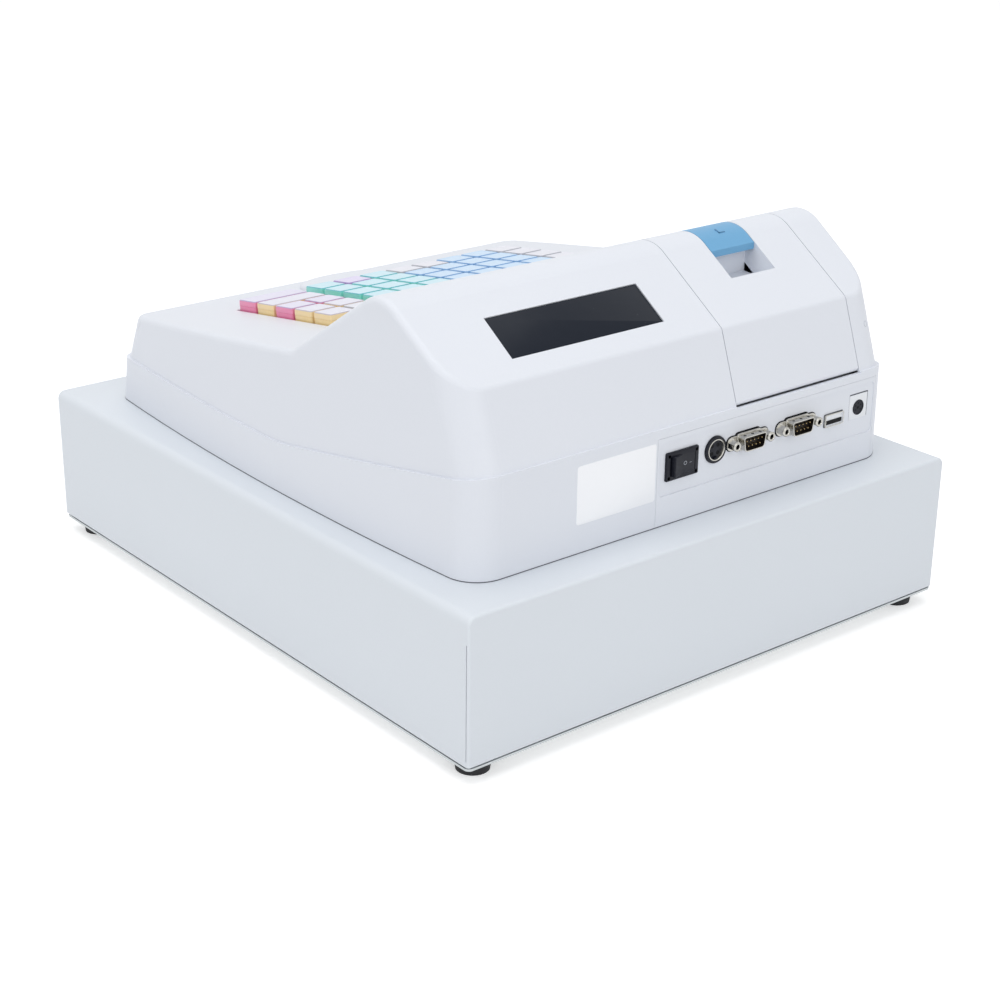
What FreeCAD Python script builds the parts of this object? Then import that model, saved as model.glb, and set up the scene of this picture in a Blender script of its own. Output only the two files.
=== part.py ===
import FreeCAD, Part

import math
import os

import Sketcher
from FreeCAD import Placement, Rotation, Vector

# An electronic cash register: a moulded head with keyboard, displays and receipt printer, standing on a
# steel cash drawer. Millimetres. +Z is up, +Y is the customer's side, +X is the operator's right.
# The origin is on the table, under the middle of the drawer.

SIZES = {
    # Sheet steel, running gaps and cuts
    "steel": 1.2,
    "running_gap": 0.3,
    "pin_gap": 0.1,
    "overrun": 6.0,
    # Drawer case, base pan and feet
    "case_width": 335.0,
    "case_depth": 394.0,
    "case_height": 78.0,
    "case_bend_radius": 4.5,
    "rear_bend_radius": 1.5,
    "base_gap": 0.8,
    "base_corner_radius": 3.0,
    "pan_flange_height": 14.0,
    "pan_flange_inset": 12.0,
    "slit_width": 0.5,
    "slit_foot": 3.0,
    "slit_top_land": 14.0,
    "relief_radius": 1.3,
    "foot_height": 8.0,
    "foot_radius": 9.5,
    "foot_taper": 1.0,
    "foot_inset": 14.0,
    "foot_recess_radius": 4.5,
    "foot_recess_depth": 4.0,
    # Rails and rollers
    "rail_foot": 34.0,
    "rail_height": 20.2,
    "rail_flange": 11.0,
    "rail_front_inset": 13.0,
    "rail_rear_inset": 21.0,
    "roller_radius": 8.5,
    "roller_width": 8.0,
    "roller_notch_gap": 1.5,
    "stud_radius": 2.0,
    "stud_head_radius": 3.5,
    "stud_head": 0.8,
    "front_roller_inset": 23.0,
    "rear_roller_inset": 7.0,
    "rear_roller_offset": 5.6,
    # Sliding tray and its front
    "tray_side_room": 15.1,
    "tray_foot": 16.0,
    "tray_height": 40.1,
    "tray_rear_room": 30.8,
    "tray_flange": 12.0,
    "front_side_gap": 2.5,
    "front_foot": 10.8,
    "front_height": 74.6,
    "front_setback": 2.5,
    "front_depth": 9.5,
    "front_edge_radius": 1.0,
    "catch_half_width": 12.0,
    "catch_reach": 16.2,
    "catch_foot": 20.0,
    "catch_height": 8.0,
    # Lock
    "lock_z": 69.0,
    "lock_radius": 9.5,
    "lock_length": 20.0,
    "lock_rim_radius": 11.0,
    "lock_rim": 1.5,
    "barrel_radius": 6.0,
    "barrel_proud": 0.3,
    "key_slot_width": 1.4,
    "key_slot_length": 6.5,
    "key_slot_depth": 3.0,
    "cam_length": 15.0,
    "cam_half_width": 4.0,
    "cam_thickness": 1.2,
    "strike_half_width": 10.0,
    "strike_foot": 79.5,
    # Trays for notes and coins
    "insert_gap": 0.3,
    "insert_height": 38.0,
    "insert_wall": 2.5,
    "insert_floor": 2.0,
    "coin_tray_length": 103.8,
    "rear_bay_room": 73.0,
    "bay_corner_radius": 3.0,
    "cup_scoop_radius": 24.0,
    "post_depth": 10.0,
    "post_top": 70.5,
    "rod_radius": 2.0,
    "rod_inset": 8.0,
    "rod_z": 66.0,
    "clip_width": 26.0,
    "clip_length": 68.0,
    "clip_hub_radius": 4.2,
    "clip_thickness": 2.0,
    "clip_tip_radius": 3.0,
    "clip_rest_angle": 22.0,
    # Drawer latch
    "latch_x": 20.0,
    "latch_offset": 13.0,
    "latch_z": 40.0,
    "lever_thickness": 3.0,
    "lever_half_height": 4.0,
    "lever_reach": 25.0,
    "lever_nose_width": 10.0,
    "lever_nose_drop": 14.0,
    "lever_pivot_radius": 2.0,
    "lever_tilt": 10.0,
    "plunger_offset": 20.0,
    "plunger_radius": 3.0,
    "plunger_foot": 14.0,
    "fork_half_width": 3.5,
    "fork_half_depth": 3.8,
    "fork_half_height": 4.0,
    "fork_drop": 6.4,
    "fork_slot_drop": 5.3,
    "fork_pin_radius": 1.5,
    "fork_pin_play": 0.25,
    "fork_slot_length": 7.0,
    "coil_radius": 9.0,
    "coil_height": 16.6,
    "yoke_half_width": 11.2,
    "yoke_half_depth": 10.0,
    "bracket_width": 13.0,
    "bracket_offset": 4.0,
    "bracket_top": 46.0,
    "spring_x": 60.0,
    "spring_z": 31.0,
    "spring_radius": 5.5,
    "spring_wire_radius": 0.6,
    "spring_pitch": 4.6,
    # Head in plan and in side view
    "head_half_front": 141.5,
    "head_half_middle": 151.0,
    "head_half_rear": 146.1,
    "head_front": 168.0,
    "head_middle": 10.0,
    "head_rear": 172.5,
    "head_wall": 2.5,
    "side_draft": 0.9,
    "draft_height": 62.0,
    "upper_step": 1.8,
    "upper_draft": 1.8,
    "upper_draft_height": 97.0,
    "front_corner_radius": 10.0,
    "rear_corner_radius": 18.0,
    "top_edge_radius": 3.5,
    "seam_front_y": 163.0,
    "seam_z": 115.0,
    "seam_bend_y": 13.9,
    "seam_bend_radius": 150.0,
    "seam_rear_z": 140.7,
    "lip_y": 161.9,
    "scoop_y": 155.4,
    "scoop_z": 123.5,
    "scoop_radius": 20.0,
    "scoop_land": 1.5,
    "deck_front_y": 148.3,
    "deck_front_z": 142.2,
    "deck_tilt": 8.37,
    "valley_y": 27.0,
    "valley_radius": 15.0,
    "ridge_y": 100.8,
    "ridge_z": 217.1,
    "ridge_radius": 22.0,
    "crease_y": 157.5,
    "crease_z": 179.0,
    "lean_foot_y": 171.2,
    "lean_foot_z": 140.5,
    "emblem_x": 12.0,
    "emblem_y": 119.0,
    "emblem_half_length": 31.0,
    "emblem_half_width": 19.0,
    "emblem_height": 3.0,
    "emblem_edge_radius": 2.4,
    "standoff_radius": 3.5,
    "standoff_inset": 6.0,
    # Keys, key guide and key board
    "key_pitch": 19.05,
    "key_base": 18.3,
    "key_top": 14.6,
    "key_above": 5.0,
    "key_below": 3.0,
    "key_stem": 6.0,
    "key_stem_drop": 8.5,
    "key_field_gap": 0.45,
    "left_block_x": 98.0,
    "right_block_x": 61.9,
    "key_rows_start": 47.8,
    "guide_depth": 7.0,
    "guide_plate": 2.0,
    "guide_rim": 2.0,
    "guide_margin": 6.0,
    "stem_gap": 0.25,
    "board_depth": 15.0,
    "board_thickness": 1.6,
    # Displays
    "customer_window_x": 3.7,
    "customer_window_width": 98.8,
    "customer_window_y": 125.3,
    "customer_window_length": 26.4,
    "window_recess": 1.5,
    "window_thickness": 2.0,
    "window_flange": 3.0,
    "display_depth": 7.0,
    "display_margin": 4.0,
    "operator_window_x": 20.0,
    "operator_window_width": 108.0,
    "operator_window_y": 50.0,
    "operator_window_length": 36.0,
    # Printer cover, latch and printer
    "cover_x": 120.2,
    "cover_width": 92.9,
    "cover_gap": 0.45,
    "cover_front_y": 77.0,
    "paper_slot": 5.0,
    "hinge_y": 168.06,
    "hinge_z": 142.4,
    "hinge_bead_radius": 2.3,
    "hinge_pin_radius": 1.25,
    "hinge_boss": 4.5,
    "cover_rib": 1.5,
    "cover_rib_depth": 6.0,
    "well_front_y": 80.2,
    "well_rear_y": 134.0,
    "well_width": 32.8,
    "well_x": 89.4,
    "cheek_depth": 14.0,
    "well_floor_y": 116.0,
    "well_floor_z": 188.0,
    "well_back_y": 110.0,
    "well_back_z": 187.0,
    "well_back_top": 202.0,
    "latch_gap": 0.4,
    "latch_front_y": 82.0,
    "latch_lip_y": 118.0,
    "latch_skin": 3.0,
    "latch_leg_depth": 12.0,
    "latch_leg_width": 2.0,
    "latch_leg_gap": 1.5,
    "latch_pivot_y": 86.0,
    "latch_pivot_z": 198.0,
    "platen_y": 80.0,
    "platen_z": 191.0,
    "platen_radius": 5.0,
    "platen_width": 58.0,
    "platen_shaft_radius": 2.0,
    "gear_module": 0.8,
    "gear_width": 3.0,
    "gear_plate_gap": 1.0,
    "drive_gear_y": 70.0,
    "drive_gear_z": 178.5,
    "frame_plate": 1.5,
    "frame_front_y": 68.0,
    "frame_side_front_y": 61.0,
    "frame_side_rear_y": 94.0,
    "frame_shoulder_z": 160.0,
    "frame_top_z": 183.3,
    "frame_shelf_z": 128.0,
    "frame_shelf_rear_y": 150.0,
    "head_block_foot": 181.0,
    "head_block_top": 192.0,
    "motor_radius": 8.0,
    "motor_length": 16.0,
    "motor_shaft_radius": 1.5,
    "roll_y": 133.0,
    "roll_z": 164.0,
    "roll_radius": 22.0,
    "roll_width": 57.5,
    "core_radius": 6.0,
    "bucket_radius": 24.0,
    "bucket_width": 60.0,
    "bucket_foot": 137.0,
    # Board and ports
    "board_front_y": 96.0,
    "board_rear_y": 166.0,
    "board_left_x": 132.0,
    "board_right_x": 24.0,
    "board_top": 112.2,
    "panel_left_x": 134.0,
    "panel_right_x": 28.7,
    "panel_top": 135.5,
    "panel_gap": 0.15,
    "recess_foot": 104.0,
    "recess_top": 133.0,
    "recess_depth": 0.8,
    "recess_inset": 1.2,
    "recess_corner_radius": 3.0,
    "bezel_x": 11.6,
    "bezel_z": 119.2,
    "bezel_width": 21.0,
    "bezel_height": 15.0,
    "bezel_proud": 1.5,
    "bezel_depth": 13.0,
    "bezel_wall": 1.0,
    "rocker_half_width": 8.3,
    "rocker_half_height": 5.5,
    "rocker_play": 0.35,
    "rocker_pivot_depth": 2.0,
    "rocker_back": 3.0,
    "rocker_valley": 1.9,
    "rocker_end": 3.4,
    "rocker_pin_radius": 1.2,
    "rocker_tilt": 8.0,
    "socket_x": 12.2,
    "socket_z": 121.0,
    "socket_radius": 7.25,
    "socket_depth": 12.0,
    "socket_wall": 1.0,
    "socket_hole_radius": 1.1,
    "socket_hole_offset": 2.12,
    "socket_foot_half_width": 5.1,
    "socket_foot_top_drop": 5.8,
    "serial_x": 35.5,
    "serial_pitch": 36.3,
    "serial_z": 121.3,
    "serial_half_width": 8.4,
    "serial_half_height": 4.1,
    "serial_slant": 1.45,
    "serial_proud": 5.0,
    "serial_wall": 0.5,
    "serial_flange_half_width": 15.4,
    "serial_flange_half_height": 6.2,
    "serial_flange": 1.0,
    "serial_body_depth": 11.0,
    "serial_pin_radius": 0.5,
    "serial_pin_pitch": 2.77,
    "serial_pin_row": 1.42,
    "serial_pin_floor": 0.6,
    "nut_spacing": 24.99,
    "nut_flats": 4.75,
    "nut_height": 5.0,
    "nut_bore_radius": 1.3,
    "usb_x": 101.5,
    "usb_z": 117.7,
    "usb_half_width": 7.2,
    "usb_half_height": 3.5,
    "usb_proud": 0.7,
    "usb_depth": 13.0,
    "usb_wall": 0.5,
    "usb_tongue": 1.9,
    "display_port_x": 120.8,
    "display_port_z": 120.9,
    "display_port_half": 6.9,
    "display_port_radius": 4.5,
    "display_port_depth": 12.0,
    "display_port_proud": 0.4,
}

PLANE_TURNS = {
    "xy": Rotation(),
    "xz": Rotation(Vector(1, 0, 0), 90),
    "yz": Rotation(Vector(1, 1, 1), 120),
}
AXIS_TURNS = {
    "x": Rotation(Vector(0, 1, 0), 90),
    "y": Rotation(Vector(1, 0, 0), -90),
    "z": Rotation(),
}

# How many of each repeated thing there are
KEY_ROWS = 5
LEFT_COLUMNS = 8
RIGHT_COLUMNS = 2
WIDE_ROWS = 2
NOTE_BAYS = 4
COIN_CUPS = 5
PIN_ROWS = ((1, 5), (-1, 4))
HEAD_FINS = 9
PLATEN_TEETH = 16
DRIVE_TEETH = 24
WIRE_SIDES = 8

# Forms given as shares: a gear tooth in modules and tooth steps, a fin's groove in pitches and depths
TOOTH_TIP_SHARE = 0.8
TOOTH_ROOT_SHARE = 1.1
TOOTH_TIP_HALF_SHARE = 0.12
TOOTH_ROOT_HALF_SHARE = 0.31
GROOVE_SHARES = (0.3, 0.7)
GROOVE_DEPTH_SHARE = 0.6

# A roof edge lies between a face that looks up by more than this and one that looks up by less
ROOF_LIFT = math.sin(math.radians(30))

DOC = FreeCAD.newDocument("CashRegister")
NODES = {}


class Size:
    """A length or an angle that carries its value and the sheet formula that gives it."""

    def __init__(self, value, formula):
        self.value = float(value)
        self.formula = formula

    def __float__(self):
        return self.value

    def __neg__(self):
        return Size(-self.value, f"(0 - {self.formula})")

    def __add__(self, other):
        return Size(self.value + float(other), f"({self.formula} + {formula_of(other)})")

    def __sub__(self, other):
        return Size(self.value - float(other), f"({self.formula} - {formula_of(other)})")

    def __mul__(self, other):
        return Size(self.value * float(other), f"({self.formula} * {formula_of(other)})")

    def __truediv__(self, other):
        return Size(self.value / float(other), f"({self.formula} / {formula_of(other)})")

    def __radd__(self, other):
        return Size(float(other), repr(float(other))) + self

    def __rsub__(self, other):
        return Size(float(other), repr(float(other))) - self

    def __rmul__(self, other):
        return self * other


def formula_of(value):
    """The sheet formula of a size, or a plain number's own text."""
    return value.formula if isinstance(value, Size) else repr(float(value))


def sine(angle):
    """The sine of an angle in degrees."""
    return Size(math.sin(math.radians(float(angle))), f"sin({formula_of(angle)})")


def cosine(angle):
    """The cosine of an angle in degrees."""
    return Size(math.cos(math.radians(float(angle))), f"cos({formula_of(angle)})")


class SizeSheet:
    """The sheet that holds the driving dimensions, read as attributes."""

    def __init__(self, values):
        self._values = values
        self._sheet = DOC.addObject("Spreadsheet::Sheet", "Sizes")
        for row, (alias, value) in enumerate(values.items(), 1):
            self._sheet.set(f"A{row}", alias)
            self._sheet.set(f"B{row}", repr(float(value)))
            self._sheet.setAlias(f"B{row}", alias)

    def __getattr__(self, alias):
        return Size(self._values[alias], f"Sizes.{alias}")


S = SizeSheet(SIZES)
DOC.recompute()


def bind(target, prop, value):
    """Tie one property of an object to the sheet."""
    target.setExpression(prop, formula_of(value))


def place(target, spot):
    """Tie an object's position to the sheet."""
    for axis, value in zip("xyz", spot):
        bind(target, f"Placement.Base.{axis}", value)


def node(name, target):
    """Name the object that is one piece of the register."""
    target.Label = name
    NODES[name] = target
    return target


def box(name, low, high):
    """A block between its lowest and its highest corner."""
    block = DOC.addObject("Part::Box", name)
    for prop, start, end in zip(("Length", "Width", "Height"), low, high):
        bind(block, prop, end - start)
    place(block, low)
    return block


def rod(name, axis, centre, radius, start, end):
    """A round bar along an axis, from one place on that axis to another."""
    first, second = centre
    spots = {
        "x": (start, first, second),
        "y": (first, start, second),
        "z": (first, second, start),
    }
    bar = DOC.addObject("Part::Cylinder", name)
    bar.Placement = Placement(Vector(), AXIS_TURNS[axis])
    bind(bar, "Radius", radius)
    bind(bar, "Height", end - start)
    place(bar, spots[axis])
    return bar


def cone(name, centre, foot_radius, top_radius, start, end):
    """An upright tapered bar."""
    bar = DOC.addObject("Part::Cone", name)
    bind(bar, "Radius1", foot_radius)
    bind(bar, "Radius2", top_radius)
    bind(bar, "Height", end - start)
    place(bar, (centre[0], centre[1], start))
    return bar


def draw_outline(sketch, points):
    """Draw a closed outline whose corners are tied to the sheet."""
    count = len(points)
    first = sketch.GeometryCount
    for index, (across, up) in enumerate(points):
        next_across, next_up = points[(index + 1) % count]
        start = Vector(float(across), float(up), 0)
        end = Vector(float(next_across), float(next_up), 0)
        sketch.addGeometry(Part.LineSegment(start, end), False)
    for index in range(count):
        following = first + (index + 1) % count
        sketch.addConstraint(Sketcher.Constraint("Coincident", first + index, 2, following, 1))
    for index, corner in enumerate(points):
        for kind, value in zip(("DistanceX", "DistanceY"), corner):
            rule = Sketcher.Constraint(kind, -1, 1, first + index, 1, float(value))
            bind(sketch, f"Constraints[{sketch.addConstraint(rule)}]", value)


def draw_circle(sketch, centre, radius):
    """Draw a circle whose centre and radius are tied to the sheet."""
    spot = Vector(float(centre[0]), float(centre[1]), 0)
    circle = sketch.addGeometry(Part.Circle(spot, Vector(0, 0, 1), float(radius)), False)
    for kind, value in zip(("DistanceX", "DistanceY"), centre):
        rule = Sketcher.Constraint(kind, -1, 1, circle, 3, float(value))
        bind(sketch, f"Constraints[{sketch.addConstraint(rule)}]", value)
    rule = Sketcher.Constraint("Radius", circle, float(radius))
    bind(sketch, f"Constraints[{sketch.addConstraint(rule)}]", radius)


def prism(name, plane, points, start, end):
    """An outline in one plane, drawn out square to it from one place to another."""
    sketch = DOC.addObject("Sketcher::SketchObject", f"{name}_outline")
    sketch.Placement = Placement(Vector(), PLANE_TURNS[plane])
    draw_outline(sketch, points)
    origins = {"xy": (0, 0, start), "xz": (0, end, 0), "yz": (start, 0, 0)}
    place(sketch, origins[plane])
    solid = DOC.addObject("Part::Extrusion", name)
    solid.Base = sketch
    solid.DirMode = "Normal"
    solid.Solid = True
    bind(solid, "LengthFwd", end - start)
    return solid


def fuse(name, *pieces):
    """Join pieces into one."""
    joined = DOC.addObject("Part::MultiFuse", name)
    joined.Shapes = list(pieces)
    joined.Refine = True
    return joined


def cut(name, base, *tools):
    """Take tools away from a base."""
    result = DOC.addObject("Part::Cut", name)
    result.Base = base
    result.Tool = tools[0] if len(tools) == 1 else fuse(f"{name}_tools", *tools)
    result.Refine = True
    return result


def common(name, first, second):
    """What two pieces share."""
    result = DOC.addObject("Part::Common", name)
    result.Base = first
    result.Tool = second
    return result


def group(name, pieces):
    """Several separate solids kept as one piece."""
    result = DOC.addObject("Part::Compound", name)
    result.Links = list(pieces)
    return result


def is_along(edge, axis):
    """True for a straight edge along the x, y or z axis."""
    if not isinstance(edge.Curve, Part.Line):
        return False
    return abs(getattr(edge.Curve.Direction, axis)) > math.cos(math.radians(1))


def fillet(name, base, radius, pick):
    """Round the edges that a test picks."""
    base.recompute(True)
    result = DOC.addObject("Part::Fillet", name)
    result.Base = base
    chosen = [index for index, edge in enumerate(base.Shape.Edges, 1) if pick(edge)]
    result.Edges = [(index, float(radius), float(radius)) for index in chosen]
    return result


def tube(name, axis, centre, radius, bore, start, end):
    """A round bar with a bore right through it."""
    outer = rod(f"{name}_outside", axis, centre, radius, start, end)
    inner = rod(f"{name}_bore", axis, centre, bore, start - S.overrun, end + S.overrun)
    return cut(name, outer, inner)


def sided(side, near, far):
    """A span from near to far out on the right, or its mirror image on the left."""
    return (near, far) if side > 0 else (-far, -near)


def feature(name, shape):
    """An object that holds a worked-out shape."""
    item = DOC.addObject("Part::Feature", name)
    item.Shape = shape
    return item


# Levels and planes of the drawer that many pieces share

HALF_WIDTH = S.case_width / 2
HALF_DEPTH = S.case_depth / 2
PAN_TOP = S.foot_height + S.steel
CASE_FOOT = PAN_TOP + S.base_gap
CASE_TOP = CASE_FOOT + S.case_height
CASE_INNER_X = HALF_WIDTH - S.steel
CASE_INNER_REAR = HALF_DEPTH - S.steel
RAIL_INNER_X = CASE_INNER_X - S.steel
FRONT_FACE = -(HALF_DEPTH - S.front_setback)
FRONT_BACK = FRONT_FACE + S.steel
FRONT_HALF = HALF_WIDTH - S.front_side_gap
TRAY_HALF = RAIL_INNER_X - S.tray_side_room
TRAY_REAR = CASE_INNER_REAR - S.tray_rear_room
TRAY_TOP = S.tray_foot + S.tray_height
TRAY_FLOOR = S.tray_foot + S.steel
INSERT_HALF = TRAY_HALF - S.steel - S.insert_gap
INSERT_TOP = TRAY_FLOOR + S.insert_height
FRONT_ROLLER_Z = TRAY_TOP - S.steel - S.running_gap - S.roller_radius
REAR_ROLLER_Z = S.rail_foot + S.rail_height / 2
FRONT_ROLLER_Y = S.front_roller_inset - HALF_DEPTH
REAR_ROLLER_Y = TRAY_REAR - S.rear_roller_inset
COIN_FRONT = FRONT_BACK + S.steel + S.insert_gap
INSERT_SPLIT_Y = COIN_FRONT + S.coin_tray_length
NOTE_BAY_REAR = TRAY_REAR - S.rear_bay_room
ROD_Y = NOTE_BAY_REAR - S.rod_inset
LATCH_Y = TRAY_REAR + S.latch_offset


def make_drawer_case():
    """The folded wrap: top and two sides in one sheet, with the rear panel folded down."""
    outside = box("case_block", (-HALF_WIDTH, -HALF_DEPTH, CASE_FOOT), (HALF_WIDTH, HALF_DEPTH, CASE_TOP))
    bent = fillet(
        "case_bends", outside, S.case_bend_radius,
        lambda edge: is_along(edge, "y") and edge.CenterOfMass.z > float(CASE_TOP - S.steel),
    )
    folded = fillet(
        "case_fold", bent, S.rear_bend_radius,
        lambda edge: is_along(edge, "x") and edge.CenterOfMass.z > float(CASE_TOP - S.steel)
        and edge.CenterOfMass.y > 0,
    )
    room = box(
        "case_room",
        (-CASE_INNER_X, -HALF_DEPTH - S.overrun, CASE_FOOT - S.overrun),
        (CASE_INNER_X, CASE_INNER_REAR, CASE_TOP - S.steel),
    )
    inner = fillet(
        "case_inside", room, S.case_bend_radius - S.steel,
        lambda edge: is_along(edge, "y") and edge.CenterOfMass.z > float(CASE_TOP - 2 * S.steel),
    )
    cuts = []
    for side in (-1, 1):
        low, high = sided(side, CASE_INNER_X - S.steel, HALF_WIDTH + S.overrun)
        slit_rear = CASE_INNER_REAR - S.pin_gap
        cuts.append(box(
            "corner_slit",
            (low, slit_rear - S.slit_width, CASE_FOOT + S.slit_foot),
            (high, slit_rear, CASE_TOP - S.slit_top_land),
        ))
        low, high = sided(side, HALF_WIDTH - S.steel, HALF_WIDTH + S.overrun)
        cuts.append(rod("corner_relief", "x", (HALF_DEPTH, CASE_TOP), S.relief_radius, low, high))
    wrap = cut("case_wrap", folded, inner, *cuts)
    strike_rear = FRONT_FACE + S.lock_length
    strike = box(
        "lock_strike",
        (-S.strike_half_width, strike_rear - S.steel, S.strike_foot),
        (S.strike_half_width, strike_rear, CASE_TOP - S.steel),
    )
    node("drawer_case", fuse("drawer_case", wrap, strike))


def make_base_pan():
    """The base plate, with flanges that stand inside the sides and the rear of the case."""
    plate = box("pan_plate", (-HALF_WIDTH, -HALF_DEPTH, S.foot_height), (HALF_WIDTH, HALF_DEPTH, PAN_TOP))
    rounded = fillet("pan_corners", plate, S.base_corner_radius, lambda edge: is_along(edge, "z"))
    pieces = [rounded]
    top = PAN_TOP + S.pan_flange_height
    for side in (-1, 1):
        low, high = sided(side, RAIL_INNER_X, CASE_INNER_X)
        pieces.append(box(
            "pan_side_flange",
            (low, -HALF_DEPTH + S.pan_flange_inset, PAN_TOP),
            (high, CASE_INNER_REAR, top),
        ))
    pieces.append(box(
        "pan_rear_flange",
        (-RAIL_INNER_X, CASE_INNER_REAR - S.steel, PAN_TOP),
        (RAIL_INNER_X, CASE_INNER_REAR, top),
    ))
    node("base_pan", fuse("base_pan", *pieces))


def make_rubber_feet():
    """Four tapered rubber feet, each with its screw recess."""
    feet = []
    across = HALF_WIDTH - S.foot_inset
    along = HALF_DEPTH - S.foot_inset
    for side in (-1, 1):
        for end in (-1, 1):
            centre = (across * side, along * end)
            foot = cone("foot_body", centre, S.foot_radius - S.foot_taper, S.foot_radius, 0, S.foot_height)
            recess = rod("foot_recess", "z", centre, S.foot_recess_radius, -S.overrun, S.foot_recess_depth)
            feet.append(cut("foot", foot, recess))
    node("rubber_feet", group("rubber_feet", feet))


def make_case_rails():
    """A channel on each side of the case, with the stud of the front roller."""
    rails = []
    top = S.rail_foot + S.rail_height
    front = S.rail_front_inset - HALF_DEPTH
    rear = HALF_DEPTH - S.rail_rear_inset
    flange_start = FRONT_ROLLER_Y + S.roller_radius + S.roller_notch_gap
    for side in (-1, 1):
        low, high = sided(side, RAIL_INNER_X, CASE_INNER_X)
        web = box("rail_web", (low, front, S.rail_foot), (high, rear, top))
        low, high = sided(side, RAIL_INNER_X - S.rail_flange, RAIL_INNER_X)
        lower = box("rail_lower", (low, front, S.rail_foot), (high, rear, S.rail_foot + S.steel))
        upper = box("rail_upper", (low, flange_start, top - S.steel), (high, rear, top))
        head = RAIL_INNER_X - 2 * S.running_gap - S.roller_width
        centre = (FRONT_ROLLER_Y, FRONT_ROLLER_Z)
        low, high = sided(side, head, RAIL_INNER_X)
        stud = rod("rail_stud", "x", centre, S.stud_radius, low, high)
        low, high = sided(side, head - S.stud_head, head)
        stud_head = rod("rail_stud_head", "x", centre, S.stud_head_radius, low, high)
        rails.append(fuse("rail", web, lower, upper, stud, stud_head))
    node("case_rails", group("case_rails", rails))


def make_front_rollers():
    """The pair of rollers on the rails that carry the tray's flanges."""
    rollers = []
    for side in (-1, 1):
        outer = RAIL_INNER_X - S.running_gap
        low, high = sided(side, outer - S.roller_width, outer)
        rollers.append(tube(
            "front_roller", "x", (FRONT_ROLLER_Y, FRONT_ROLLER_Z),
            S.roller_radius, S.stud_radius + S.pin_gap, low, high,
        ))
    node("front_rollers", group("front_rollers", rollers))


def make_rear_rollers():
    """The pair of rollers on the tray that run inside the channels."""
    rollers = []
    for side in (-1, 1):
        inner = TRAY_HALF + S.rear_roller_offset
        low, high = sided(side, inner, inner + S.roller_width)
        rollers.append(tube(
            "rear_roller", "x", (REAR_ROLLER_Y, REAR_ROLLER_Z),
            S.roller_radius, S.stud_radius + S.pin_gap, low, high,
        ))
    node("rear_rollers", group("rear_rollers", rollers))


def make_drawer_tray():
    """The sliding steel tray with its side flanges, roller studs and catch."""
    outside = box("tray_outside", (-TRAY_HALF, FRONT_BACK, S.tray_foot), (TRAY_HALF, TRAY_REAR, TRAY_TOP))
    room = box(
        "tray_room",
        (S.steel - TRAY_HALF, FRONT_BACK + S.steel, TRAY_FLOOR),
        (TRAY_HALF - S.steel, TRAY_REAR - S.steel, TRAY_TOP + S.overrun),
    )
    pieces = [cut("tray_pan", outside, room)]
    for side in (-1, 1):
        low, high = sided(side, TRAY_HALF, TRAY_HALF + S.tray_flange)
        pieces.append(box(
            "tray_flange", (low, FRONT_BACK, TRAY_TOP - S.steel), (high, TRAY_REAR, TRAY_TOP),
        ))
        centre = (REAR_ROLLER_Y, REAR_ROLLER_Z)
        inner = TRAY_HALF + S.rear_roller_offset
        outer = inner + S.roller_width + S.running_gap
        low, high = sided(side, TRAY_HALF, inner - S.running_gap)
        pieces.append(rod("stud_shoulder", "x", centre, S.stud_head_radius, low, high))
        low, high = sided(side, inner - S.running_gap, outer)
        pieces.append(rod("stud_shaft", "x", centre, S.stud_radius, low, high))
        low, high = sided(side, outer, outer + S.stud_head)
        pieces.append(rod("stud_cap", "x", centre, S.stud_head_radius, low, high))
    catch_rear = TRAY_REAR + S.catch_reach
    strap = box(
        "catch_strap",
        (-S.catch_half_width, TRAY_REAR, S.catch_foot),
        (S.catch_half_width, catch_rear, S.catch_foot + S.catch_height),
    )
    window = box(
        "catch_window",
        (S.steel - S.catch_half_width, TRAY_REAR, S.catch_foot - S.overrun),
        (S.catch_half_width - S.steel, catch_rear - S.steel, S.catch_foot + S.catch_height + S.overrun),
    )
    pieces.append(cut("catch", strap, window))
    node("drawer_tray", fuse("drawer_tray", *pieces))


def make_drawer_front():
    """The front panel, a shallow pan with its rim turned to the rear and a hole for the lock."""
    top = S.front_foot + S.front_height
    rear = FRONT_FACE + S.front_depth
    outside = box("front_outside", (-FRONT_HALF, FRONT_FACE, S.front_foot), (FRONT_HALF, rear, top))
    eased = fillet(
        "front_eased", outside, S.front_edge_radius,
        lambda edge: edge.CenterOfMass.y < float(FRONT_BACK),
    )
    room = box(
        "front_room",
        (S.steel - FRONT_HALF, FRONT_BACK, S.front_foot + S.steel),
        (FRONT_HALF - S.steel, rear + S.overrun, top - S.steel),
    )
    hole = rod(
        "lock_hole", "y", (0, S.lock_z), S.lock_radius + S.pin_gap,
        FRONT_FACE - S.overrun, FRONT_BACK + S.overrun,
    )
    node("drawer_front", cut("drawer_front", eased, room, hole))


def new_body(name):
    """A body whose features follow each other."""
    body = DOC.addObject("PartDesign::Body", f"{name}_body")
    return node(name, body)


def body_sketch(body, plane, offset=0):
    """A sketch on one of the body's own planes, moved out along its normal."""
    sketch = body.newObject("Sketcher::SketchObject", f"{body.Label}_sketch")
    support = next(item for item in body.Origin.OriginFeatures if item.Role == plane)
    sketch.AttachmentSupport = (support, [""])
    sketch.MapMode = "FlatFace"
    bind(sketch, "AttachmentOffset.Base.z", offset)
    return sketch


def pad(body, sketch, length, reverse=False):
    """Draw a sketch out into a solid."""
    item = body.newObject("PartDesign::Pad", f"{body.Label}_pad")
    item.Profile = sketch
    item.Reversed = reverse
    bind(item, "Length", length)
    return item


def pocket(body, sketch, length, reverse=False):
    """Cut a sketch into the solid."""
    item = body.newObject("PartDesign::Pocket", f"{body.Label}_pocket")
    item.Profile = sketch
    item.Reversed = reverse
    bind(item, "Length", length)
    return item


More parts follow.
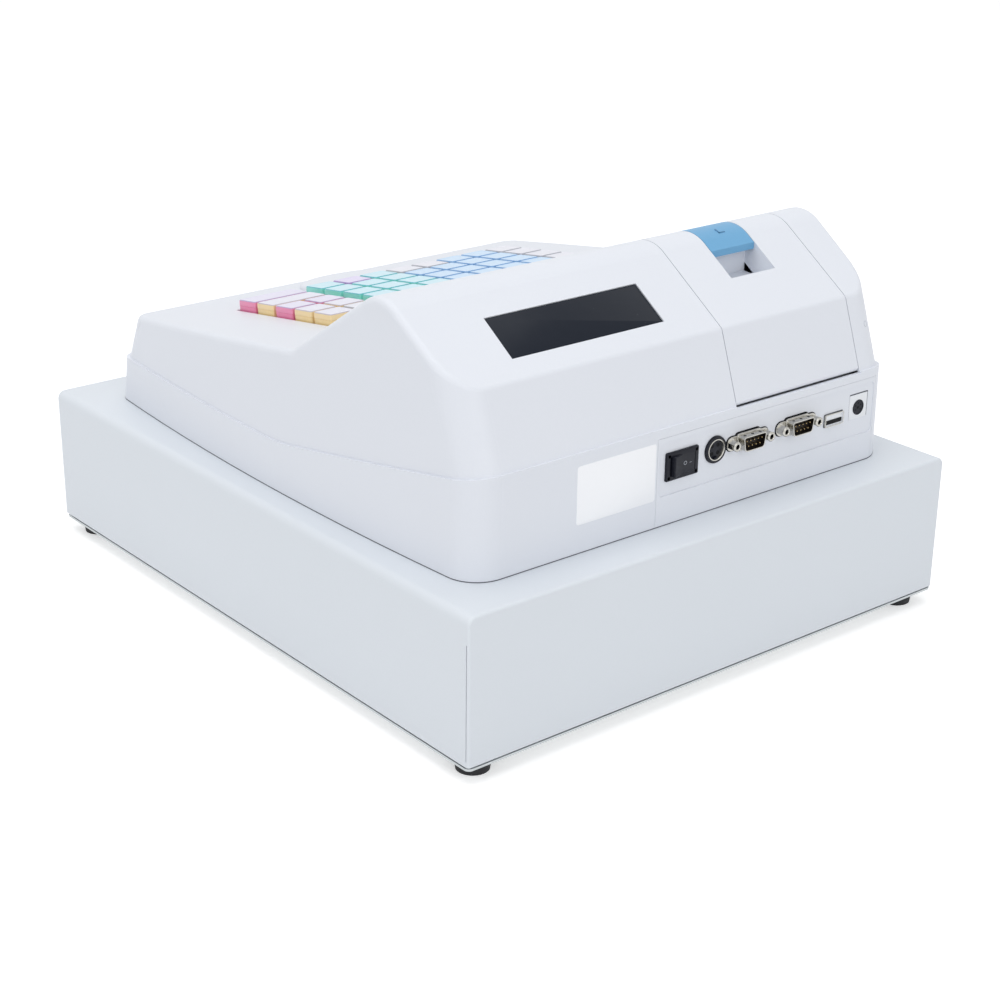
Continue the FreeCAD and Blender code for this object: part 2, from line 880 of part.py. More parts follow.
def revolve(body, plane, outline, axis):
    """Turn an outline a full turn about a sketch axis."""
    sketch = body_sketch(body, plane)
    draw_outline(sketch, outline)
    item = body.newObject("PartDesign::Revolution", f"{body.Label}_turned")
    item.Profile = sketch
    item.ReferenceAxis = (sketch, [axis])
    item.Angle = 360
    return item


def make_lock_housing():
    """The lock's sleeve with its rim, turned about the lock axis."""
    body = new_body("lock_housing")
    bore = S.barrel_radius + S.pin_gap
    outline = [
        (bore, S.lock_rim), (S.lock_rim_radius, S.lock_rim), (S.lock_rim_radius, 0),
        (S.lock_radius, 0), (S.lock_radius, -S.lock_length), (bore, -S.lock_length),
    ]
    revolve(body, "XZ_Plane", outline, "V_Axis")
    body.Placement = Placement(Vector(), Rotation(Vector(1, 0, 0), 90))
    place(body, (0, FRONT_FACE, S.lock_z))


def make_lock_barrel():
    """The barrel with its key slot in front and the cam behind."""
    body = new_body("lock_barrel")
    face = S.lock_rim + S.barrel_proud
    back = -S.lock_length - S.running_gap
    zero = 0
    outline = [(zero, face), (S.barrel_radius, face), (S.barrel_radius, back), (zero, back)]
    revolve(body, "XZ_Plane", outline, "V_Axis")
    cam = body_sketch(body, "XY_Plane", back)
    draw_outline(cam, [
        (-S.cam_half_width, -S.cam_half_width), (S.cam_length, -S.cam_half_width),
        (S.cam_length, S.cam_half_width), (-S.cam_half_width, S.cam_half_width),
    ])
    pad(body, cam, S.cam_thickness, reverse=True)
    slot = body_sketch(body, "XY_Plane", face)
    half_width = S.key_slot_width / 2
    half_length = S.key_slot_length / 2
    draw_outline(slot, [
        (-half_width, -half_length), (half_width, -half_length),
        (half_width, half_length), (-half_width, half_length),
    ])
    pocket(body, slot, S.key_slot_depth)
    body.Placement = Placement(Vector(), Rotation(Vector(1, 0, 0), 90))
    place(body, (0, FRONT_FACE, S.lock_z))


def bay_spans(count):
    """The left and right side of each bay across an insert."""
    wall = S.insert_wall
    bay = (2 * INSERT_HALF - (count + 1) * wall) / count
    starts = [-INSERT_HALF + wall + (bay + wall) * index for index in range(count)]
    return [(start, start + bay) for start in starts]


def make_bill_tray():
    """The insert for notes: four bays, a rear compartment and the posts of the clip rod."""
    rear = TRAY_REAR - S.steel - S.insert_gap
    front = INSERT_SPLIT_Y + S.insert_gap
    block = box("bill_block", (-INSERT_HALF, front, TRAY_FLOOR), (INSERT_HALF, rear, INSERT_TOP))
    floor = TRAY_FLOOR + S.insert_floor
    top = INSERT_TOP + S.overrun
    rooms = []
    for low, high in bay_spans(NOTE_BAYS):
        room = box("note_bay", (low, front + S.insert_wall, floor), (high, NOTE_BAY_REAR, top))
        rooms.append(fillet("note_bay_rounded", room, S.bay_corner_radius, lambda edge: is_along(edge, "z")))
    rooms.append(box(
        "rear_bay",
        (S.insert_wall - INSERT_HALF, NOTE_BAY_REAR + S.insert_wall, floor),
        (INSERT_HALF - S.insert_wall, rear - S.insert_wall, top),
    ))
    hollow = cut("bill_hollow", block, *rooms)
    edges = [span[0] for span in bay_spans(NOTE_BAYS)] + [INSERT_HALF]
    posts = [
        box(
            "rod_post",
            (edge - S.insert_wall, ROD_Y - S.post_depth / 2, INSERT_TOP - S.insert_wall),
            (edge, ROD_Y + S.post_depth / 2, S.post_top),
        )
        for edge in edges
    ]
    bore = rod(
        "rod_bore", "x", (ROD_Y, S.rod_z), S.rod_radius + S.pin_gap,
        -INSERT_HALF - S.overrun, INSERT_HALF + S.overrun,
    )
    node("bill_tray", cut("bill_tray", fuse("bill_body", hollow, *posts), bore))


def make_coin_tray():
    """The insert for coins: five scooped cups."""
    front, rear = COIN_FRONT, INSERT_SPLIT_Y
    block = box("coin_block", (-INSERT_HALF, front, TRAY_FLOOR), (INSERT_HALF, rear, INSERT_TOP))
    floor = TRAY_FLOOR + S.insert_floor
    cups = []
    for low, high in bay_spans(COIN_CUPS):
        cup = box(
            "coin_cup",
            (low, front + S.insert_wall, floor),
            (high, rear - S.insert_wall, INSERT_TOP + S.overrun),
        )
        cups.append(fillet(
            "coin_cup_scooped", cup, S.cup_scoop_radius,
            lambda edge: is_along(edge, "x") and edge.CenterOfMass.z < float(INSERT_TOP),
        ))
    node("coin_tray", cut("coin_tray", block, *cups))


def make_clip_rod():
    """The steel rod that carries the four note clips."""
    node("clip_rod", rod("clip_rod", "x", (ROD_Y, S.rod_z), S.rod_radius, -INSERT_HALF, INSERT_HALF))


def make_bill_clips():
    """Four hinged clips that hold the notes down, each with a rolled tip."""
    half = S.clip_width / 2
    for index, (low, high) in enumerate(bay_spans(NOTE_BAYS), 1):
        middle = (low + high) / 2
        hub = rod("clip_hub", "x", (0, 0), S.clip_hub_radius, -half, half)
        arm = box(
            "clip_arm", (-half, -S.clip_length, -S.clip_thickness / 2), (half, 0, S.clip_thickness / 2),
        )
        tip = rod("clip_tip", "x", (-S.clip_length, 0), S.clip_tip_radius, -half, half)
        bore = rod("clip_bore", "x", (0, 0), S.rod_radius + S.pin_gap, -half - S.overrun, half + S.overrun)
        clip = cut(f"bill_clip_{index}", fuse("clip_body", hub, arm, tip), bore)
        clip.Placement = Placement(Vector(), Rotation(Vector(1, 0, 0), float(S.clip_rest_angle)))
        bind(clip, "Placement.Rotation.Angle", S.clip_rest_angle)
        place(clip, (middle, ROD_Y, S.rod_z))
        node(f"bill_clip_{index}", clip)


def make_latch_lever():
    """The latch lever, nose lifted clear of the catch, with its pivot bore and the slot for the fork pin."""
    body = new_body("latch_lever")
    half = S.lever_thickness / 2
    profile = body_sketch(body, "XZ_Plane", -half)
    draw_outline(profile, [
        (-S.lever_reach, S.lever_half_height), (-S.lever_reach, -S.lever_nose_drop),
        (S.lever_nose_width - S.lever_reach, -S.lever_nose_drop),
        (S.lever_nose_width - S.lever_reach, -S.lever_half_height),
        (S.lever_reach, -S.lever_half_height), (S.lever_reach, S.lever_half_height),
    ])
    pad(body, profile, S.lever_thickness)
    holes = body_sketch(body, "XZ_Plane", half)
    draw_circle(holes, (0, 0), S.lever_pivot_radius + S.pin_gap)
    slot_low = S.plunger_offset - S.fork_slot_length / 2
    slot_high = S.plunger_offset + S.fork_slot_length / 2
    slot_half = S.fork_pin_radius + S.fork_pin_play
    draw_outline(holes, [
        (slot_low, -slot_half), (slot_high, -slot_half), (slot_high, slot_half), (slot_low, slot_half),
    ])
    pocket(body, holes, S.lever_thickness)
    body.Placement = Placement(Vector(), Rotation(Vector(0, 1, 0), float(S.lever_tilt)))
    bind(body, "Placement.Rotation.Angle", S.lever_tilt)
    place(body, (S.latch_x, LATCH_Y, S.latch_z))


def make_plunger():
    """The plunger, pulled down by its solenoid, with a fork and pin round the lever's end."""
    across = S.latch_x + S.plunger_offset
    pin_z = S.latch_z - S.plunger_offset * sine(S.lever_tilt)
    fork_foot = pin_z - S.fork_drop
    shaft = rod("plunger_shaft", "z", (across, LATCH_Y), S.plunger_radius, S.plunger_foot, fork_foot)
    fork = box(
        "plunger_fork",
        (across - S.fork_half_width, LATCH_Y - S.fork_half_depth, fork_foot),
        (across + S.fork_half_width, LATCH_Y + S.fork_half_depth, pin_z + S.fork_half_height),
    )
    gap = S.lever_thickness / 2 + S.running_gap
    slot = box(
        "fork_slot",
        (across - S.fork_half_width - S.overrun, LATCH_Y - gap, pin_z - S.fork_slot_drop),
        (across + S.fork_half_width + S.overrun, LATCH_Y + gap, pin_z + S.fork_half_height + S.overrun),
    )
    pin = rod(
        "fork_pin", "y", (across, pin_z), S.fork_pin_radius,
        LATCH_Y - S.fork_half_depth, LATCH_Y + S.fork_half_depth,
    )
    node("plunger", fuse("plunger", shaft, cut("slotted_fork", fork, slot), pin))


def make_solenoid_body():
    """The solenoid: yoke, coil, foot plate and the bracket with the lever's pivot stud."""
    across = S.latch_x + S.plunger_offset
    foot = PAN_TOP + S.steel
    coil_top = foot + S.coil_height
    left = S.latch_x - S.bracket_width / 2
    right = across + S.yoke_half_width
    front = LATCH_Y - S.yoke_half_depth
    rear = LATCH_Y + S.yoke_half_depth
    plate = box("yoke_foot", (left, front, PAN_TOP), (right, rear, foot))
    cheeks = [
        box("yoke_cheek", (low, front, foot), (low + S.steel, rear, coil_top + S.steel))
        for low in (across - S.yoke_half_width, right - S.steel)
    ]
    lid = box("yoke_lid", (across - S.yoke_half_width, front, coil_top), (right, rear, coil_top + S.steel))
    coil = rod("coil", "z", (across, LATCH_Y), S.coil_radius, foot, coil_top)
    bracket_front = LATCH_Y + S.bracket_offset
    bracket = box(
        "pivot_bracket",
        (left, bracket_front, foot), (left + S.bracket_width, bracket_front + S.steel, S.bracket_top),
    )
    stud = rod(
        "pivot_stud", "y", (S.latch_x, S.latch_z), S.lever_pivot_radius,
        LATCH_Y - S.lever_thickness / 2 - S.steel, bracket_front,
    )
    bore = rod(
        "coil_bore", "z", (across, LATCH_Y), S.plunger_radius + S.pin_gap,
        S.plunger_foot - S.steel, coil_top + S.overrun,
    )
    body = fuse("solenoid_solid", plate, *cheeks, lid, coil, bracket, stud)
    node("solenoid_body", cut("solenoid_body", body, bore))


def make_ejector_spring():
    """The compression spring that pushes the drawer open."""
    front = TRAY_REAR + S.running_gap + S.spring_wire_radius
    rear = CASE_INNER_REAR - S.spring_wire_radius
    helix = DOC.addObject("Part::Helix", "spring_path")
    helix.Placement = Placement(Vector(), AXIS_TURNS["y"])
    bind(helix, "Pitch", S.spring_pitch)
    bind(helix, "Height", rear - front)
    bind(helix, "Radius", S.spring_radius)
    place(helix, (-S.spring_x, front, S.spring_z))
    ring = DOC.addObject("Part::RegularPolygon", "spring_section")
    ring.Polygon = WIRE_SIDES
    bind(ring, "Circumradius", S.spring_wire_radius)
    place(ring, (-S.spring_x + S.spring_radius, front, S.spring_z))
    coil = DOC.addObject("Part::Sweep", "ejector_spring")
    coil.Sections = [ring]
    coil.Spine = (helix, [])
    coil.Solid = True
    coil.Frenet = True
    node("ejector_spring", coil)


HEAD_FAR_X = S.head_half_middle + S.overrun
HEAD_FAR_FRONT = -S.head_front - S.overrun
HEAD_FAR_REAR = S.head_rear + S.overrun


def plane_point(across, up):
    """A point of the side view."""
    return Vector(0, float(across), float(up))


def rounded_wire(corners):
    """A closed side-view wire through corners, each rounded by the radius given with it."""
    points = [plane_point(across, up) for across, up, _ in corners]
    starts, ends, edges, arcs = [], [], [], []
    for index, (_, _, radius) in enumerate(corners):
        here = points[index]
        before = (here - points[index - 1]).normalize()
        after = (points[(index + 1) % len(points)] - here).normalize()
        half_turn = before.getAngle(after) / 2
        reach = float(radius) * math.tan(half_turn)
        starts.append(here - before * reach)
        ends.append(here + after * reach)
        if reach > 0:
            inward = (after - before).normalize()
            middle = here + inward * float(radius) * (1 / math.cos(half_turn) - 1)
            arcs.append(Part.Arc(starts[-1], middle, ends[-1]).toShape())
        else:
            arcs.append(None)
    for index, arc in enumerate(arcs):
        edges.append(Part.makeLine(ends[index - 1], starts[index]))
        if arc:
            edges.append(arc)
    return Part.Wire(edges)


def lower_corners(roof=None):
    """The lower housing's side view: flat foot and climbing seam, or a plain high roof."""
    foot = [(HEAD_FAR_REAR, CASE_TOP, 0), (HEAD_FAR_FRONT, CASE_TOP, 0)]
    if roof is not None:
        return [*foot, (HEAD_FAR_FRONT, roof, 0), (HEAD_FAR_REAR, roof, 0)]
    return [*foot, *reversed(seam_corners())]


def seam_corners():
    """The seam between the housings, from the rear to the front."""
    return [
        (HEAD_FAR_REAR, seam_height(HEAD_FAR_REAR), 0),
        (S.seam_bend_y, S.seam_z, S.seam_bend_radius),
        (HEAD_FAR_FRONT, S.seam_z, 0),
    ]


def upper_corners(floor=None):
    """The upper housing's side view: deck, rise, ridge and rear slope, down to the seam or to a floor."""
    slope = (S.ridge_z - S.crease_z) / (S.crease_y - S.ridge_y)
    roof = [
        (HEAD_FAR_FRONT, deck_height(HEAD_FAR_FRONT), 0),
        (S.valley_y, deck_height(S.valley_y), S.valley_radius),
        (S.ridge_y, S.ridge_z, S.ridge_radius),
        (HEAD_FAR_REAR, S.crease_z - (HEAD_FAR_REAR - S.crease_y) * slope, 0),
    ]
    if floor is not None:
        return [*roof, (HEAD_FAR_REAR, floor, 0), (HEAD_FAR_FRONT, floor, 0)]
    return [*roof, *seam_corners()]


def seam_height(y):
    """The height of the climbing part of the seam at one place along the head."""
    rise = (S.seam_rear_z - S.seam_z) / (S.head_rear - S.seam_bend_y)
    return S.seam_z + (y - S.seam_bend_y) * rise


def deck_height(y):
    """The height of the keyboard deck at one place along the head."""
    slope = sine(S.deck_tilt) / cosine(S.deck_tilt)
    return S.deck_front_z + (y + S.deck_front_y) * slope


def head_plan(z, inset, front, rear):
    """The head's plan at one height: bowed sides drawn in by an inset, between its front and its rear."""
    middle = -float(S.head_middle)
    bow = Part.Circle(
        Vector(float(S.head_half_front), -float(S.head_front), 0),
        Vector(float(S.head_half_middle), middle, 0),
        Vector(float(S.head_half_rear), float(S.head_rear), 0),
    )

    def corner(side, y):
        reach = bow.Center.x + math.sqrt(bow.Radius ** 2 - (y - bow.Center.y) ** 2) - inset
        return Vector(side * reach, y, z)

    return Part.Wire([
        Part.Arc(corner(1, front), corner(1, middle), corner(1, rear)).toShape(),
        Part.makeLine(corner(1, rear), corner(-1, rear)),
        Part.Arc(corner(-1, rear), corner(-1, middle), corner(-1, front)).toShape(),
        Part.makeLine(corner(-1, front), corner(1, front)),
    ])


def drawn_across(wire):
    """A side-view wire drawn out into a solid that is wider than the head."""
    reach = float(HEAD_FAR_X)
    return Part.Face(wire).extrude(Vector(2 * reach, 0, 0)).translated(Vector(-reach, 0, 0))


def head_solid(corners, sides, offset=0):
    """A side-view outline drawn across the head and trimmed by its bowed sides and rounded ends."""
    wire = rounded_wire(corners)
    if offset:
        wire = wire.makeOffset2D(-float(offset), 2)
    slab = drawn_across(wire)
    levels = (float(CASE_TOP - S.overrun), float(S.ridge_z + S.overrun))
    plans = [
        head_plan(z, sides.inset(z) + offset, sides.front(z) + offset, sides.rear(z) - offset)
        for z in levels
    ]
    block = Part.makeLoft(plans, True, True)
    tall = float(S.head_wall)
    for radius, end in ((S.front_corner_radius, -1), (S.rear_corner_radius, 1)):
        if float(radius) > offset:
            block = round_corners(
                block, float(radius) - offset,
                lambda edge: edge.BoundBox.ZLength > tall and edge.CenterOfMass.y * end > 0,
            )
    return slab.common(block).Solids[0]


class HeadSides:
    """How far a housing's sides are drawn in, and where its front and rear stand, at each height."""

    def __init__(self, start_z, step, draft_share, front, front_share, rear, rear_share):
        self.start_z = float(start_z)
        self.step = float(step)
        self.draft_share = float(draft_share)
        self.front_y = float(front)
        self.front_share = float(front_share)
        self.rear_y = float(rear)
        self.rear_share = float(rear_share)

    def inset(self, z):
        """How far the sides are drawn in at one height."""
        return self.step + (z - self.start_z) * self.draft_share

    def front(self, z):
        """Where the front stands at one height."""
        return self.front_y + (z - self.start_z) * self.front_share

    def rear(self, z):
        """Where the rear stands at one height."""
        return self.rear_y - (z - self.start_z) * self.rear_share


def round_corners(solid, radius, pick):
    """Round the edges of a worked-out solid that a test picks."""
    return solid.makeFillet(float(radius), [edge for edge in solid.Edges if pick(edge)])


def is_roof_edge(solid, edge):
    """True for an edge between a face that looks up and one that looks sideways."""
    lifts = []
    for face in solid.ancestorsOfType(edge, Part.Face):
        u, v = face.Surface.parameter(edge.CenterOfMass)
        lifts.append(face.normalAt(u, v).z)
    return len(lifts) == 2 and max(lifts) > ROOF_LIFT > min(lifts) > -ROOF_LIFT


LEAN_SHARE = (S.lean_foot_y - S.crease_y) / (S.crease_z - S.lean_foot_z)
LOWER_SIDES = HeadSides(
    CASE_TOP, 0, S.side_draft / S.draft_height,
    -S.head_front, (S.head_front - S.seam_front_y) / (S.seam_z - CASE_TOP), S.head_rear, 0,
)
UPPER_SIDES = HeadSides(
    S.seam_z, S.upper_step, S.upper_draft / S.upper_draft_height,
    -S.lip_y, (S.lip_y - S.deck_front_y) / (S.deck_front_z - S.seam_z),
    S.lean_foot_y + (S.lean_foot_z - S.seam_z) * LEAN_SHARE, LEAN_SHARE,
)


def lower_outside():
    """The lower housing's outer form, without its hollow."""
    return head_solid(lower_corners(), LOWER_SIDES)


def scoop_cutter():
    """The shallow scoop across the upper housing's front lip."""
    outline = rounded_wire([
        (-S.lip_y, S.seam_z, 0), (-S.scoop_y, S.scoop_z, S.scoop_radius),
        (-S.deck_front_y - S.scoop_land, S.deck_front_z - S.scoop_land, 0),
        (HEAD_FAR_FRONT, S.deck_front_z, 0), (HEAD_FAR_FRONT, S.seam_z, 0),
    ])
    return drawn_across(outline)


def upper_outside():
    """The upper housing's outer form, without its hollow."""
    plain = head_solid(upper_corners(), UPPER_SIDES)
    eased = round_corners(plain, S.top_edge_radius, lambda edge: is_roof_edge(plain, edge))
    return eased.cut(scoop_cutter()).Solids[0]


def upper_inside(depth):
    """The space under the upper housing's skin, at one depth below it."""
    return head_solid(upper_corners(float(CASE_TOP)), UPPER_SIDES, float(depth))


def lower_inside():
    """The space inside the lower housing, open at the top."""
    return head_solid(lower_corners(float(S.crease_z)), LOWER_SIDES, float(S.head_wall))


class Slope:
    """A flat slope across the head: its origin in the side view and its angle to the table."""

    def __init__(self, y, z, angle):
        self.y = y
        self.z = z
        self.angle = angle

    def spot(self, x, along, out):
        """The place of a point given along the slope and out from it."""
        return (
            x,
            self.y + along * cosine(self.angle) - out * sine(self.angle),
            self.z + along * sine(self.angle) + out * cosine(self.angle),
        )

    def settle(self, target, spot):
        """Lay an object made level onto the slope."""
        target.Placement = Placement(Vector(), Rotation(Vector(1, 0, 0), float(self.angle)))
        bind(target, "Placement.Rotation.Angle", self.angle)
        place(target, spot)
        return target

    def box(self, name, low, high):
        """A block square to the slope."""
        block = DOC.addObject("Part::Box", name)
        for prop, start, end in zip(("Length", "Width", "Height"), low, high):
            bind(block, prop, end - start)
        return self.settle(block, self.spot(*low))


def slope_angle(rise, run):
    """The angle of a slope in degrees."""
    ratio = rise / run
    return Size(math.degrees(math.atan(float(ratio))), f"atan({ratio.formula})")


VALLEY_Z = deck_height(S.valley_y)
DECK = Slope(-S.deck_front_y, S.deck_front_z, S.deck_tilt)
RISE = Slope(S.valley_y, VALLEY_Z, slope_angle(S.ridge_z - VALLEY_Z, S.ridge_y - S.valley_y))
FALL = Slope(S.ridge_y, S.ridge_z, slope_angle(S.crease_z - S.ridge_z, S.crease_y - S.ridge_y))
COVER_LEFT = -S.cover_x
COVER_RIGHT = S.cover_width - S.cover_x
WELL_LEFT = -S.well_x
WELL_RIGHT = S.well_width - S.well_x
ROLL_X = (COVER_LEFT + COVER_RIGHT) / 2
HEAD_FLOOR = CASE_TOP + S.head_wall
BOARD_FOOT = S.board_top - S.board_thickness
PANEL_FACE = S.head_rear - S.recess_depth
PANEL_BACK = S.head_rear - S.head_wall
BORE_RADIUS = S.hinge_pin_radius + S.pin_gap


def block_shape(low, high):
    """A plain block shape between two corners."""
    size = [float(end) - float(start) for start, end in zip(low, high)]
    return Part.makeBox(*size, Vector(*(float(value) for value in low)))


def rod_shape(centre, radius, start, end):
    """A plain round bar shape along x."""
    first, second = centre
    spot = Vector(float(start), float(first), float(second))
    return Part.makeCylinder(float(radius), float(end) - float(start), spot, Vector(1, 0, 0))


def make_lower_housing():
    """The head's lower moulding: tub, board standoffs, port opening and room for the cover's bead."""
    shell = feature("lower_shell", lower_outside().cut(lower_inside()))
    pieces = [shell]
    for x in (-S.board_left_x + S.standoff_inset, S.board_right_x - S.standoff_inset):
        for y in (S.board_front_y + S.standoff_inset, S.board_rear_y - S.standoff_inset):
            foot = CASE_TOP + S.head_wall / 2
            pieces.append(rod("standoff", "z", (x, y), S.standoff_radius, foot, BOARD_FOOT))
    opening = box(
        "port_opening",
        (-S.panel_left_x - S.panel_gap, PANEL_BACK - S.head_wall / 2, CASE_TOP - S.overrun),
        (S.panel_right_x + S.panel_gap, S.head_rear + S.overrun, S.panel_top + S.panel_gap),
    )
    relief = box(
        "bead_relief",
        (
            COVER_LEFT - S.cover_gap, S.hinge_y - 2 * S.hinge_bead_radius,
            S.hinge_z - S.hinge_bead_radius - S.latch_gap,
        ),
        (COVER_RIGHT + S.cover_gap, S.head_rear + S.overrun, S.hinge_z + S.overrun),
    )
    node("lower_housing", cut("lower_housing", fuse("lower_solid", *pieces), opening, relief))


def emblem_shape():
    """The raised oval pad on the deck, in the deck's own level frame."""
    along = float((S.deck_front_y - S.emblem_y) / cosine(S.deck_tilt))
    centre = Vector(float(S.emblem_x), along, -float(S.head_wall) / 2)
    oval = Part.Ellipse(centre, float(S.emblem_half_length), float(S.emblem_half_width)).toShape()
    height = float(S.emblem_height + S.head_wall / 2)
    raised = Part.Face(Part.Wire([oval])).extrude(Vector(0, 0, height))
    return round_corners(
        raised, S.emblem_edge_radius,
        lambda edge: edge.CenterOfMass.z > float(S.emblem_height) / 2 and not is_along(edge, "z"),
    )


def key_field(left, columns):
    """A block of keys' opening, in x and along the deck."""
    along = S.key_rows_start
    return (
        (left - S.key_field_gap, along - S.key_field_gap),
        (left + S.key_pitch * columns + S.key_field_gap, along + S.key_pitch * KEY_ROWS + S.key_field_gap),
    )


def make_upper_housing(outer):
    """The head's upper moulding: skin, emblem pad, hinge bosses and every opening."""
    shell = feature("upper_shell", outer.cut(upper_inside(S.head_wall)))
    emblem = DECK.settle(feature("emblem_pad", emblem_shape()), DECK.spot(0, 0, 0))
    pieces = [shell, emblem]
    for low, high in (
        (COVER_LEFT - S.cover_gap - S.hinge_boss, COVER_LEFT - S.cover_gap),
        (COVER_RIGHT + S.cover_gap, COVER_RIGHT + S.cover_gap + S.hinge_boss),
    ):
        pieces.append(rod("hinge_boss", "x", (S.hinge_y, S.hinge_z), S.hinge_bead_radius, low, high))
    cuts = []
    for left, columns in ((-S.left_block_x, LEFT_COLUMNS), (S.right_block_x, RIGHT_COLUMNS)):
        low, high = key_field(left, columns)
        cuts.append(DECK.box("key_opening", (*low, -S.overrun), (*high, S.overrun)))
    cuts.append(FALL.box("customer_opening", *customer_field(-S.overrun, S.overrun)))
    cuts.append(RISE.box("operator_opening", *operator_field(-S.overrun, S.overrun)))
    cuts.append(box(
        "cover_opening",
        (COVER_LEFT - S.cover_gap, S.cover_front_y - S.paper_slot, S.hinge_z - 2 * S.overrun),
        (COVER_RIGHT + S.cover_gap, HEAD_FAR_REAR, S.ridge_z + S.overrun),
    ))
    cuts.append(rod(
        "hinge_bore", "x", (S.hinge_y, S.hinge_z), BORE_RADIUS,
        COVER_LEFT - S.hinge_boss - S.cover_gap - S.overrun, COVER_RIGHT + S.hinge_boss + S.cover_gap + S.overrun,
    ))
    node("upper_housing", cut("upper_housing", fuse("upper_solid", *pieces), *cuts))


def customer_field(bottom, top, margin=0):
    """The customer window's block on the rear slope."""
    along = (S.customer_window_y - S.ridge_y) / cosine(FALL.angle)
    return (
        (S.customer_window_x - margin, along - margin, bottom),
        (
            S.customer_window_x + S.customer_window_width + margin,
            along + S.customer_window_length + margin, top,
        ),
    )


def operator_field(bottom, top, margin=0):
    """The operator window's block on the front rise."""
    along = (S.operator_window_y - S.valley_y) / cosine(RISE.angle)
    return (
        (S.operator_window_x - margin, along - margin, bottom),
        (
            S.operator_window_x + S.operator_window_width + margin,
            along + S.operator_window_length + margin, top,
        ),
    )


def make_window_pair(slope, field, pane_name, display_name):
    """A window pane flanged under the skin, and the display module behind it."""
    bottom = -S.window_recess - S.window_thickness
    pane = slope.box("pane", *field(bottom, -S.window_recess))
    flange = slope.box("pane_flange", *field(bottom, -S.head_wall, S.window_flange))
    node(pane_name, fuse(pane_name, pane, flange))
    node(display_name, slope.box(display_name, *field(bottom - S.display_depth, bottom, -S.display_margin)))


def cover_ring(outer, depth):
    """The cover's part of the head's skin, to one depth."""
    region = block_shape(
        (COVER_LEFT, S.cover_front_y, S.hinge_z), (COVER_RIGHT, HEAD_FAR_REAR, S.ridge_z + S.overrun),
    )
    return outer.common(region).cut(upper_inside(depth))


def make_printer_cover(outer):
    """The printer cover: skin, edge ribs, finger well, platen brackets and the hinge bead with its pins."""
    skin = cover_ring(outer, S.head_wall)
    ribs = cover_ring(outer, S.cover_rib_depth)
    deep = cover_ring(outer, S.cheek_depth)
    rear = S.well_rear_y + S.cover_rib
    top = S.ridge_z + S.overrun
    pieces = []
    for low in (COVER_LEFT, COVER_RIGHT - S.cover_rib):
        pieces.append(ribs.common(block_shape((low, 0, 0), (low + S.cover_rib, rear, top))))
    for low in (WELL_LEFT - S.cover_rib, WELL_RIGHT):
        pieces.append(deep.common(block_shape((low, 0, 0), (low + S.cover_rib, rear, top))))
    for low in platen_brackets():
        pieces.append(deep.common(block_shape(
            (low, 0, 0), (low + S.cover_rib, S.platen_y + 2 * S.platen_radius, top),
        )))
    window = block_shape((WELL_LEFT, S.well_front_y, S.hinge_z), (WELL_RIGHT, S.well_rear_y, top))
    floor = rounded_wire([
        (rear, fall_height(rear) - S.cover_rib, 0),
        (S.well_floor_y, S.well_floor_z, 0),
        (S.well_back_y + S.cover_rib, S.well_back_z + S.cover_rib, 0),
        (S.well_back_y + S.cover_rib, S.well_back_top, 0),
        (S.well_back_y, S.well_back_top, 0),
        (S.well_back_y, S.well_back_z, 0),
        (S.well_floor_y, S.well_floor_z - S.cover_rib, 0),
        (rear, fall_height(rear) - S.cover_rib * 2, 0),
    ])
    well = Part.Face(floor).extrude(Vector(float(S.well_width), 0, 0))
    pieces.append(well.translated(Vector(float(WELL_LEFT), 0, 0)))
    pieces.append(rod_shape((S.hinge_y, S.hinge_z), S.hinge_bead_radius, COVER_LEFT, COVER_RIGHT))
    pin_reach = S.cover_gap + S.hinge_boss
    pieces.append(rod_shape(
        (S.hinge_y, S.hinge_z), S.hinge_pin_radius, COVER_LEFT - pin_reach, COVER_RIGHT + pin_reach,
    ))
    roll_span = (COVER_LEFT + S.cover_rib + S.running_gap, COVER_RIGHT - S.cover_rib - S.running_gap)
    platen_room = rod_shape((S.platen_y, S.platen_z), S.platen_radius + S.gear_plate_gap, *platen_inside())
    roll_room = rod_shape((S.roll_y, S.roll_z), S.roll_radius + S.gear_plate_gap, *roll_span)
    body = skin.cut(window).fuse(pieces)
    shaft_bore = rod_shape(
        (S.platen_y, S.platen_z), S.platen_shaft_radius + S.pin_gap,
        platen_brackets()[0] - S.cover_rib, platen_brackets()[1] + 2 * S.cover_rib,
    )
    latch_bore = rod_shape(
        (S.latch_pivot_y, S.latch_pivot_z), BORE_RADIUS,
        WELL_LEFT - 2 * S.cover_rib, WELL_RIGHT + 2 * S.cover_rib,
    )
    cover = body.cut([platen_room, roll_room, shaft_bore, latch_bore]).removeSplitter()
    node("printer_cover", feature("printer_cover", cover))


def fall_height(y):
    """The height of the rear slope at one place along the head."""
    return S.ridge_z - (y - S.ridge_y) * (S.ridge_z - S.crease_z) / (S.crease_y - S.ridge_y)


def platen_brackets():
    """The left side of each platen bracket."""
    half = S.platen_width / 2 + S.gear_plate_gap
    return (ROLL_X - half - S.cover_rib, ROLL_X + half)


def platen_inside():
    """The span between the platen brackets."""
    left, right = platen_brackets()
    return left + S.cover_rib, right


